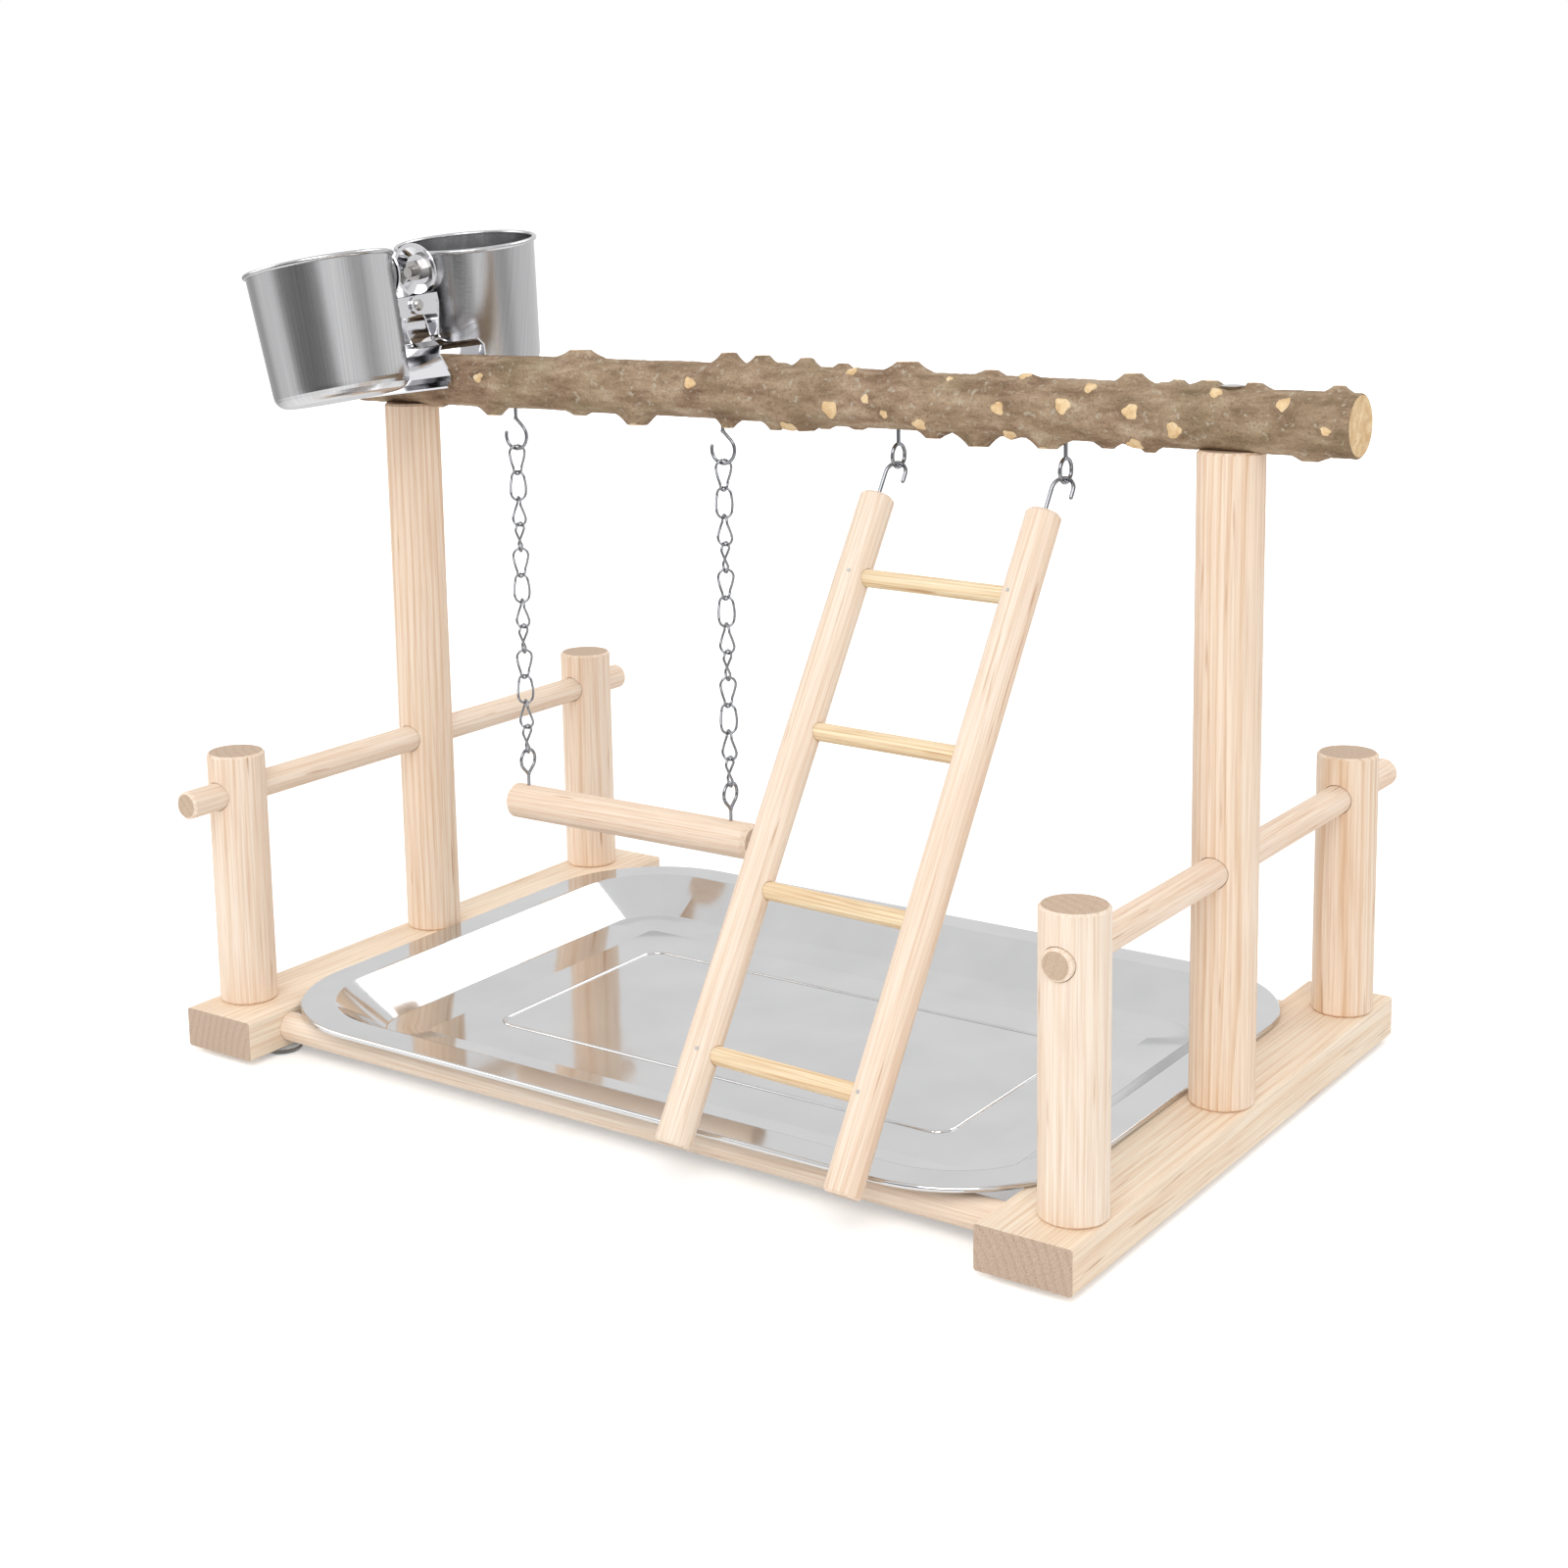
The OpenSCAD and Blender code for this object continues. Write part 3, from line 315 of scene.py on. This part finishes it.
# ---- Metals and the clear feet. The height of a wave is in mm, scales are per metre
def metal(name, colour, roughness, wave, wave_scale):
    s = Shader(name)
    p = s.coord()
    broad = s.grey(s.noise(p, 40, 2.0), (0.3, 0.0), (0.7, 1.0))
    fine = s.noise(p, 900, 3.0, 0.6)
    s.set(Metallic=1.0, Base_Color=s.tint(broad, colour, (0.93, 0.93, 0.94, 1)),
          Roughness=s.grey(fine, (0.3, roughness), (0.75, roughness * 1.5)),
          Normal=s.bump(s.noise(p, wave_scale, 1.0), 1.0, wave * MM))
    return s.material


def brushed(name, middle, axis, colour, roughness):
    """Spun steel: fine lines round an axis, with soft streaks along it."""
    s = Shader(name)
    turn = axis.rotation_difference(UP).to_matrix()
    p = s.placed(turn, -(turn @ middle))
    outward = s.vector("NORMALIZE", s.stretch(p, 1, 1, 0))

    def lines(round_it, along, detail):
        where = s.vector("ADD", s.stretch(outward, round_it, round_it, 0),
                         s.stretch(p, 0, 0, along))
        return s.noise(where, 1.0, detail, 0.6)

    spun, streak, weave = lines(6, 2600, 2.0), lines(34, 14, 3.0), lines(150, 60, 2.0)
    tone = s.tint(s.grey(streak, (0.35, 0.0), (0.7, 1.0)), colour, (0.86, 0.86, 0.87, 1))
    rough = s.math("ADD", s.grey(spun, (0.3, roughness), (0.7, roughness * 1.5)),
                   s.math("MULTIPLY", weave, 0.08))
    height = s.math("ADD", s.math("MULTIPLY", spun, 0.6), s.math("MULTIPLY", weave, 0.5))
    s.set(Metallic=1.0, Base_Color=tone, Roughness=rough, Normal=s.bump(height, 0.5, 0.04 * MM))
    s.set_value("Anisotropic", 0.4)
    return s.material


def clear_rubber():
    s = Shader("clear_rubber")
    haze = s.noise(s.coord(), 700, 2.0)
    s.set(Base_Color=rgb(244, 246, 247), Roughness=s.grey(haze, (0.3, 0.08), (0.7, 0.22)),
          Normal=s.bump(haze, 0.2, 0.1 * MM))
    s.set_value("Transmission Weight", 0.9)
    s.set_value("IOR", 1.45)
    return s.material


STAINLESS = metal("stainless", rgb(214, 214, 214), 0.07, wave=0.10, wave_scale=26)
CHROME = metal("clip_chrome", rgb(222, 222, 224), 0.05, wave=0.05, wave_scale=160)
WIRE = metal("wire", rgb(150, 152, 156), 0.13, wave=0.02, wave_scale=700)
SCREW = metal("screw_steel", rgb(196, 194, 190), 0.28, wave=0.01, wave_scale=900)

DRESSED = [
    (clear_rubber(), ["bumper_feet"]),
    (STAINLESS, ["tray"]),
    (CHROME, ["clip_front_arm", "clip_rear_arm", "clip_spring"]),
    (WIRE, ["swing_hooks", "ladder_eyes", "ladder_hooks", "swing_top_links", "swing_chain_left",
            "swing_chain_right", "swing_bottom_link_left", "swing_bottom_link_right",
            "swing_eyes"]),
    (SCREW, ["post_screws", "branch_screws", "ladder_nails", "clip_pivot_pin", "front_cup_bolt",
             "rear_cup_bolt", "front_cup_nut", "rear_cup_nut"]),
]
for material, dressed in DRESSED:
    for node in dressed:
        dress(node, material)

CUP_STEEL, CUP_ROUGHNESS = rgb(204, 204, 205), 0.12
CUP_AXES = {"front_cup": Vector((-0.2, 0.05, 0.97)), "rear_cup": Vector((0, 0.1, 1))}
for node, axis in CUP_AXES.items():
    dress(node, brushed("brushed_" + node, middle_of(cloud(node)), axis.normalized(),
                        CUP_STEEL, CUP_ROUGHNESS))


# ---- Branch: bark with trimmed knobs, on the lines of its solid. Sizes are in mm
BRANCH_LEFT, BRANCH_LENGTH, BRANCH_R, BRANCH_Z = -183.0, 381.5, 9.3, 222.7
BRANCH_RIGHT = BRANCH_LEFT + BRANCH_LENGTH
TALL_TOP, POST_X, POST_R = 214.0, 160.1, 9.9
# The tops of the screws' heads lie at this share of the branch's radius
SCREW_SEAT, SCREW_R = 1.06, 3.5
SCREW_TOP = BRANCH_Z + SCREW_SEAT * BRANCH_R
# The bark's swells and wrinkles: height, length along the branch, and waves round it
SWELL, WRINKLE = (0.32, 26, 1.3), (0.16, 2.2, 5.5)
# The bark starts below the solid's radius, bows up in the middle and is rounded at its ends
BARK_DIP, BOW, END_ROUND = 0.05, 0.9, 0.5
# How far the screws' heads stand out of the bark, the room round them and round the posts'
# tops, and the gap above these
HEAD_SHOWS, HEAD_ROOM, POST_ROOM, POST_GAP = 0.35, 0.7, 0.3, 0.02
# Radius and height of a knob whose width and height are 1 in the table
KNOB_R, KNOB_H = 4.4, 3.4
# Ranges of a knob's lean, in radians, and of its stretch along that lean
KNOB_LEAN, KNOB_STRETCH = (-0.7, 0.7), (0.85, 1.3)
# Depths of the three broad and the five small lobes of its outline
BROAD_LOBE, SMALL_LOBE = 0.13, 0.07
# Shares of its radius at its cut top and its foot, factor of its height, power of its flank
TOP_SHARE, FOOT_SHARE, RAISE, HOLLOW = 0.60, 1.75, 1.15, 1.7
# Slant of the cut top, and the least share of the knob's height that it leaves
SLANT, LOWEST = 0.05, 0.9
# Where the pale cut starts to fade and over how much, as shares of its radius
FADE_FROM, FADE_OVER = 0.86, 0.22
# Share of the bark's own unevenness on a knob, the dip round its foot, the height below
# which this dip lies and the height where the knob ends
UNEVEN, FOOT_DIP, FOOT_BELOW, LEAST = 0.3, 0.12, 0.4, 0.02
# Angles round the branch become lengths this far outside its radius
KNOB_MIDDLE = 1.5
# Shares of the radius of the rings that close a sawn end
END_RINGS = (0.985, 0.9, 0.7, 0.45, 0.2)
# Share of the branch's length, degrees from the top to the front, width and height
KNOBS = [
    (0.268, -7, 1.25, 1.0), (0.431, -7, 0.85, 1.3), (0.467, -7, 0.8, 1.1),
    (0.487, -7, 0.6, 0.3), (0.512, -7, 0.7, 1.0), (0.549, -7, 0.6, 0.55),
    (0.570, 33, 0.75, 0.6), (0.613, -7, 1.1, 1.1), (0.662, 33, 0.5, 0.2),
    (0.691, -7, 0.6, 0.55), (0.729, 21, 0.8, 0.6), (0.790, 42, 0.8, 0.5),
    (0.816, -7, 0.95, 0.95), (0.844, -7, 0.45, 0.2), (0.854, -7, 0.55, 0.5),
    (0.880, -7, 0.85, 0.6), (0.915, -7, 0.7, 0.6), (0.982, -7, 0.55, 0.65),
    (0.170, 78, 0.65, 0.6), (0.412, 72, 0.7, 0.8), (0.556, 104, 1.1, 0.8),
    (0.590, 84, 0.6, 0.5), (0.607, 109, 0.6, 0.5), (0.639, 125, 0.85, 0.6),
    (0.506, 149, 1.1, 0.9), (0.714, 87, 0.8, 0.6), (0.771, 77, 0.9, 0.7),
    (0.829, 80, 0.9, 0.7), (0.865, 105, 1.0, 0.7), (0.950, 56, 0.85, 0.7),
    (0.984, 94, 0.5, 0.4), (0.720, 136, 0.8, 0.6), (0.829, 137, 0.9, 0.7),
    (0.894, 39, 0.8, 0.6), (0.098, 173, 0.65, 0.35), (0.168, 173, 0.85, 1.05),
    (0.270, 173, 0.65, 0.5), (0.335, 173, 1.15, 1.35), (0.434, 173, 0.6, 1.05),
    (0.485, 173, 0.65, 0.95), (0.517, 173, 0.7, 0.8), (0.535, 173, 0.55, 0.45),
    (0.568, 173, 0.6, 0.3), (0.640, 173, 0.65, 0.8), (0.683, 173, 0.9, 1.4),
    (0.745, 173, 1.1, 1.1), (0.798, 173, 0.65, 0.6), (0.834, 173, 0.6, 0.7),
    (0.963, 173, 0.65, 0.55),
]
# Eleven more at the rear, where the photo shows nothing
KNOBS += [(0.19 + i * 0.074, -60 - (i * 47) % 75, 0.8, 0.8) for i in range(11)]


def ease(t):
    t = np.clip(t, 0, 1)
    return t * t * (3 - 2 * t)


def bark_radii(along, phi):
    """The branch's radius at each place along and round it, without its knobs."""
    r = np.full((len(along), len(phi)), BRANCH_R - BARK_DIP)
    for i, x in enumerate(along):
        for j, a in enumerate(phi):
            for height, length, waves in (SWELL, WRINKLE):
                at = Vector((x / length, math.sin(a) * waves, math.cos(a) * waves))
                r[i, j] += height * noise.noise(at)
    return r


def add_knobs(along, phi, r):
    """The radii with the knobs, and a mask of their cut tops."""
    dice = random.Random(5)
    x, phi = along[:, None], phi[None, :]
    cut = np.zeros_like(r)
    for share, turn, wide, high in KNOBS:
        a0 = math.radians(turn)
        du = x - share * BRANCH_LENGTH
        dv = ((phi - a0 + math.pi) % FULL_TURN - math.pi) * (BRANCH_R + KNOB_MIDDLE)
        lean, stretch = dice.uniform(*KNOB_LEAN), dice.uniform(*KNOB_STRETCH)
        u = (du * math.cos(lean) + dv * math.sin(lean)) / stretch
        v = -du * math.sin(lean) + dv * math.cos(lean)
        a = np.arctan2(v, u)
        outline = 1 + BROAD_LOBE * np.sin(3 * a + 9 * lean)
        outline = outline + SMALL_LOBE * np.sin(5 * a + 4 * share)
        rho = np.sqrt(u * u + v * v) / outline
        tip, foot = wide * KNOB_R * TOP_SHARE, wide * KNOB_R * FOOT_SHARE
        flank = 1 - np.clip((rho - tip) / (foot - tip), 0, 1)
        height = RAISE * high * KNOB_H * flank ** HOLLOW
        tilt = 1 + SLANT * (du * math.cos(a0 * 3) + dv * math.sin(a0 * 3)) / tip
        height = height * np.clip(tilt, LOWEST, 1.0)
        raised = UNEVEN * r + (1 - UNEVEN) * (BRANCH_R + height)
        raised = raised - FOOT_DIP * (height < FOOT_BELOW)
        r = np.where(height > LEAST, np.maximum(r, raised), r)
        cut = np.maximum(cut, 1 - ease((rho - tip * FADE_FROM) / (tip * FADE_OVER)))
    return r, cut


def bark_point(x, a, r):
    """A point of the bark, bowed up between the posts, fitted to their tops and the screws."""
    y, z = -r * math.sin(a), BRANCH_Z + r * math.cos(a)
    z += BOW * max(0.0, 1 - (x / POST_X) ** 2)
    from_post = min(math.hypot(x - POST_X, y), math.hypot(x + POST_X, y))
    if z > BRANCH_Z and from_post < SCREW_R + HEAD_ROOM:
        z = min(z, SCREW_TOP - HEAD_SHOWS)
    if z < TALL_TOP and from_post < POST_R + POST_ROOM:
        z = TALL_TOP + POST_GAP
    return (x, y, z)


def band(first, second, flip=False):
    """Quads between two closed rings of vertex numbers."""
    count = len(first)
    quads = [(first[j], first[(j + 1) % count], second[(j + 1) % count], second[j])
             for j in range(count)]
    return [quad[::-1] for quad in quads] if flip else quads


def branch_piece():
    steps, around = ((1000, 144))
    along = np.linspace(0, BRANCH_LENGTH, steps)
    phi = np.linspace(0, FULL_TURN, around, endpoint=False)
    r, cut = add_knobs(along, phi, bark_radii(along, phi))
    for end in (0, -1):
        r[end] = np.minimum(r[end], BRANCH_R - END_ROUND)
    verts = [bark_point(BRANCH_LEFT + x, a, r[i, j])
             for i, x in enumerate(along) for j, a in enumerate(phi)]
    mask = list(cut.ravel())
    rings = [range(i * around, (i + 1) * around) for i in range(steps)]
    faces = [quad for i in range(steps - 1) for quad in band(rings[i], rings[i + 1])]
    # Sawn ends, each a few rings that close on the middle
    for edge, x, flip in ((rings[0], BRANCH_LEFT, True), (rings[-1], BRANCH_RIGHT, False)):
        last = edge
        for share in END_RINGS:
            ring = range(len(verts), len(verts) + around)
            verts += [(x, verts[k][1] * share, BRANCH_Z + (verts[k][2] - BRANCH_Z) * share)
                      for k in edge]
            faces += band(last, ring, flip)
            last = ring
        middle = len(verts)
        verts.append((x, 0, BRANCH_Z))
        for j in range(around):
            tri = (last[j], last[(j + 1) % around], middle)
            faces.append(tri[::-1] if flip else tri)
    mask += [1.0] * (len(verts) - len(mask))
    made = mesh_object("branch", metres(verts), faces, bark_material())
    made.data.attributes.new("cut", "FLOAT", "POINT").data.foreach_set(
        "value", np.array(mask, np.float32))
    smooth(made.data)
    return made


def bark_material():
    s = Shader("bark")
    p = s.coord()
    broad = s.noise(p, 38, 4.0, 0.6)
    patch = s.noise(s.stretch(p, 0.35, 1, 1), 190, 4.0, 0.65)
    grit = s.noise(p, 1300, 3.0, 0.65)
    wrinkle = s.noise(s.stretch(p, 1.0, 0.3, 0.3), 900, 3.0, 0.6)
    speck = s.noise(p, 420, 2.0, 0.6)
    colour = s.ramp(patch, [(0.25, rgb(112, 88, 68)), (0.42, rgb(150, 124, 101)),
                            (0.55, rgb(176, 150, 125)), (0.72, rgb(204, 185, 160))])
    # Mossy areas, dark grit and pale lichen
    colour = s.mix(s.grey(broad, (0.42, 0.0), (0.65, 0.35)), colour, rgb(150, 138, 104))
    colour = s.mix(s.grey(grit, (0.5, 0.0), (0.72, 0.55)), colour, rgb(92, 70, 54))
    colour = s.mix(s.grey(speck, (0.60, 0.0), (0.70, 0.75)), colour, rgb(190, 178, 160))
    bark_height = s.math("ADD", s.math("MULTIPLY", patch, 0.9), s.math("MULTIPLY", wrinkle, 0.5))
    bark_height = s.math("ADD", bark_height, s.math("MULTIPLY", grit, 0.35))
    # Trimmed knobs and sawn ends
    ring = s.noise(p, 260, 2.0, 0.5, distortion=0.6)
    pale = s.ramp(ring, [(0.3, rgb(220, 182, 132)), (0.55, rgb(240, 210, 164)),
                         (0.75, rgb(247, 226, 190))])
    pale = s.mix(s.grey(grit, (0.5, 0.0), (0.75, 0.5)), pale, rgb(196, 152, 104))
    # The edge of a cut is ragged
    ragged = s.math("MULTIPLY", s.math("SUBTRACT", patch, 0.5), 0.9)
    edge = s.math("ADD", s.add("Attribute", attribute_name="cut").outputs["Fac"], ragged)
    mask = s.grey(edge, (0.45, 0.0), (0.6, 1.0))
    height = s.mix(mask, bark_height, s.math("MULTIPLY", grit, 0.25))
    s.set(Base_Color=s.mix(mask, colour, pale), Roughness=s.grey(mask, (0, 0.86), (1, 0.6)),
          Normal=s.bump(height, 0.9, 0.9 * MM))
    s.set_value("Specular IOR Level", 0.25)
    return s.material


branch = branch_piece()
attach(branch, "stand")
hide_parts("branch_perch")


# ---- Chain links: each is twisted by an eighth of a turn, so it meets the next one square
HOOK_X, HOOK_SPACING, TOP_LINK_Z = -110.5, 90.0, 200.65
LINK_LENGTH, LINK_WIDTH, LINK_WIRE, LINK_PITCH = 11.25, 6.3, 0.9, 9.25
FIRST_TURN, LINK_TURN = 75.0, 45.0
LINKS, LINK_RINGS, LINK_SIDES = 12, 56, 10


def link_line(number):
    """The middle line of a link's wire about the link's own middle."""
    bend = (LINK_WIDTH - LINK_WIRE) / 2
    straight = LINK_LENGTH - LINK_WIDTH
    half_turn = math.pi * bend
    total = 2 * (straight + half_turn)
    turn = math.radians(FIRST_TURN - LINK_TURN * (number - 1))
    line = []
    for i in range(LINK_RINGS):
        s = total * i / LINK_RINGS
        if s < straight:
            u, w = bend, s - straight / 2
        elif s < straight + half_turn:
            a = (s - straight) / bend
            u, w = bend * math.cos(a), straight / 2 + bend * math.sin(a)
        elif s < 2 * straight + half_turn:
            u, w = -bend, straight / 2 - (s - straight - half_turn)
        else:
            a = (s - 2 * straight - half_turn) / bend
            u, w = -bend * math.cos(a), -straight / 2 - bend * math.sin(a)
        # The twist lies in the straight part, so both round ends stay flat
        part = max(-0.5, min(0.5, w / straight))
        angle = turn - math.radians(LINK_TURN) * part
        line.append(Vector((u * math.cos(angle), u * math.sin(angle), w)))
    return line


def link_tube(number, x, verts, faces):
    """Adds one link of the chain at x, counted from 1 at the top."""
    line = link_line(number)
    z = TOP_LINK_Z - LINK_PITCH * (number - 1) - (LINK_LENGTH - LINK_WIRE) / 2
    middle = np.array((x, 0, z))
    rings = []
    for i, at in enumerate(line):
        ahead = (line[(i + 1) % LINK_RINGS] - line[i - 1]).normalized()
        side = ahead.cross(Vector((at.y, -at.x, 0)).normalized()).normalized()
        other = ahead.cross(side).normalized()
        rings.append(range(len(verts), len(verts) + LINK_SIDES))
        for j in range(LINK_SIDES):
            a = FULL_TURN * j / LINK_SIDES
            outward = (side * math.cos(a) + other * math.sin(a)) * LINK_WIRE / 2
            verts.append(np.array(at + outward) + middle)
    for i in range(LINK_RINGS):
        faces += band(rings[i], rings[(i + 1) % LINK_RINGS])


def links(name, body, node, places):
    verts, faces = [], []
    for number, x in places:
        link_tube(number, x, verts, faces)
    piece = mesh_object(name, metres(verts), faces, WIRE)
    smooth(piece.data)
    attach(piece, body)
    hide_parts(node)


left, right = HOOK_X, HOOK_X + HOOK_SPACING
chain = range(2, LINKS)
links("links_top", "swing_top", "swing_top_links", [(1, left), (1, right)])
links("links_left", "swing_left", "swing_chain_left", [(n, left) for n in chain])
links("links_right", "swing_right", "swing_chain_right", [(n, right) for n in chain])
links("link_end_left", "swing_left_end", "swing_bottom_link_left", [(LINKS, left)])
links("link_end_right", "swing_right_end", "swing_bottom_link_right", [(LINKS, right)])


# ---- Floor, light and camera. Sizes from here on are in metres
# Brightness of the room round the stand, from the back (0) to the dark flag at the front (1)
ROOM = [(0.0, 0.92), (0.2, 0.85), (0.35, 0.5), (0.5, 0.55), (0.62, 0.9), (0.86, 1.0),
        (0.93, 0.35), (1.0, 0.18)]
FLAG = (0.096, -0.995, 0)
# How much the room's plain walls show, from straight below (0) to straight above (1)
PLAIN = [(0.0, 0.5), (0.40, 0.55), (0.5, 0.25), (0.52, 0.0), (0.66, 0.0), (0.80, 1.0)]
PLAIN_WALL, SOFT_LIGHT = level(0.92), level(0.62)
FLOOR_HALF, FLOOR_Z = 30.0, -0.0002
# Brightness of the floor's white by the distance from the origin
FLOOR_GLOW = [(0.35, 0.32), (1.0, 0.55)]
# Where the metals' view of the floor turns into the room's bands, and their brightness there
FAR_FLOOR, FLOOR_MIRROR = [(0.3, 0.0), (0.7, 1.0)], 0.9


def half(tree, value):
    """From -1 to 1 into 0 to 1."""
    return tree.math("MULTIPLY_ADD", value, 0.5, 0.5)


def bands(tree, where, share=1.0):
    """The room's brightness in the level direction of where."""
    toward = half(tree, tree.dot(tree.vector("NORMALIZE", where), FLAG))
    return tree.grey(toward, *[(at, share * v) for at, v in ROOM])


def floor_piece():
    s = Shader("floor")
    faint = s.noise(s.coord(), 30, 2.0)
    s.set(Base_Color=s.ramp(faint, [(0.3, rgb(246, 246, 246)), (0.7, rgb(250, 250, 250))]),
          Roughness=0.9)
    s.set_value("Specular IOR Level", 0.0)
    away = s.vector("LENGTH", s.coord(), out=1)
    mirrored = s.math("MAXIMUM", s.ray("Glossy"), s.ray("Transmission"))
    seen = s.math("MAXIMUM", s.ray("Camera"), mirrored)
    glow = s.node("Emission", level(1), s.math("MULTIPLY", seen, s.grey(away, *FLOOR_GLOW)))
    near = s.node("AddShader", s.bsdf.outputs[0], glow)
    # The metals see the far floor in the same bands as the room
    far = s.math("MULTIPLY", s.ray("Glossy"), s.grey(away, *FAR_FLOOR))
    room = s.node("Emission", bands(s, s.coord(), FLOOR_MIRROR))
    s.link(s.node("MixShader", far, near, room), s.out.inputs[0])
    corners = [(x * FLOOR_HALF, y * FLOOR_HALF, FLOOR_Z)
               for x, y in ((-1, -1), (1, -1), (1, 1), (-1, 1))]
    floor = mesh_object("floor", corners, [(0, 1, 2, 3)], s.material)


def world():
    """What the metals mirror: a pale room in bands, with a dark flag to the front."""
    studio = bpy.data.worlds.new("studio")
    scene.world = studio
    w = Tree(studio)
    where = w.coord("Generated")
    above = w.grey(half(w, w.node("SeparateXYZ", where, out=2)), *PLAIN)
    room = w.mix(above, bands(w, w.stretch(where, 1, 1, 0)), PLAIN_WALL)
    light = w.mix(w.ray("Glossy"), SOFT_LIGHT, room)
    direct = w.math("MAXIMUM", w.ray("Camera"), w.ray("Transmission"))
    back = w.node("Background", w.mix(direct, light, level(1)))
    w.link(back, w.add("OutputWorld").inputs[0])


# Place, width and height in metres, and power in watts
LAMPS = {
    "key": ((0.9, -1.7, 1.9), (1.6, 1.6), 26),
    "fill": ((-1.9, -0.9, 1.3), (1.6, 1.2), 12),
    "rim": ((0.6, 1.6, 1.7), (1.6, 0.8), 10),
}
LAMP_TARGET = Vector((0, 0, 0.1))


def lamp(name, place, size, power):
    data = bpy.data.lights.new(name, "AREA")
    data.shape = "RECTANGLE"
    data.size, data.size_y = size
    data.energy = power
    made = bpy.data.objects.new(name, data)
    scene.collection.objects.link(made)
    made.location = place
    made.rotation_mode = "QUATERNION"
    made.rotation_quaternion = (LAMP_TARGET - Vector(place)).to_track_quat("-Z", "Y")


# The photo's camera: width of its frame, focal length and middle in pixels, angles in degrees
FRAME_WIDTH, FOCAL, MIDDLE_X, MIDDLE_Y = 1600, 2494.32, 707.01, 589.86
AZIMUTH, ELEVATION, ROLL = math.radians(36.52), math.radians(10.11), math.radians(-1.35)
CAMERA_AT, SENSOR_MM, CLIP = (0.44677, -0.65868, 0.30493), 36.0, (0.05, 100)


def camera():
    data = bpy.data.cameras.new("camera")
    made = bpy.data.objects.new("camera", data)
    scene.collection.objects.link(made)
    data.sensor_width = SENSOR_MM
    data.lens = FOCAL / FRAME_WIDTH * SENSOR_MM
    data.shift_x = (FRAME_WIDTH / 2 - MIDDLE_X) / FRAME_WIDTH
    data.shift_y = -(FRAME_WIDTH / 2 - MIDDLE_Y) / FRAME_WIDTH
    data.clip_start, data.clip_end = CLIP
    forward = Vector((-math.sin(AZIMUTH) * math.cos(ELEVATION),
                      math.cos(AZIMUTH) * math.cos(ELEVATION), -math.sin(ELEVATION)))
    level_right = forward.cross(UP).normalized()
    level_down = forward.cross(level_right)
    to_right = math.cos(ROLL) * level_right - math.sin(ROLL) * level_down
    to_bottom = math.sin(ROLL) * level_right + math.cos(ROLL) * level_down
    turn = Matrix((to_right, -to_bottom, -forward)).transposed()
    made.matrix_world = Matrix.Translation(CAMERA_AT) @ turn.to_4x4()
    scene.camera = made


floor_piece()
world()
camera()
for name, settings in LAMPS.items():
    lamp(name, *settings)

scene.view_settings.view_transform = "Standard"
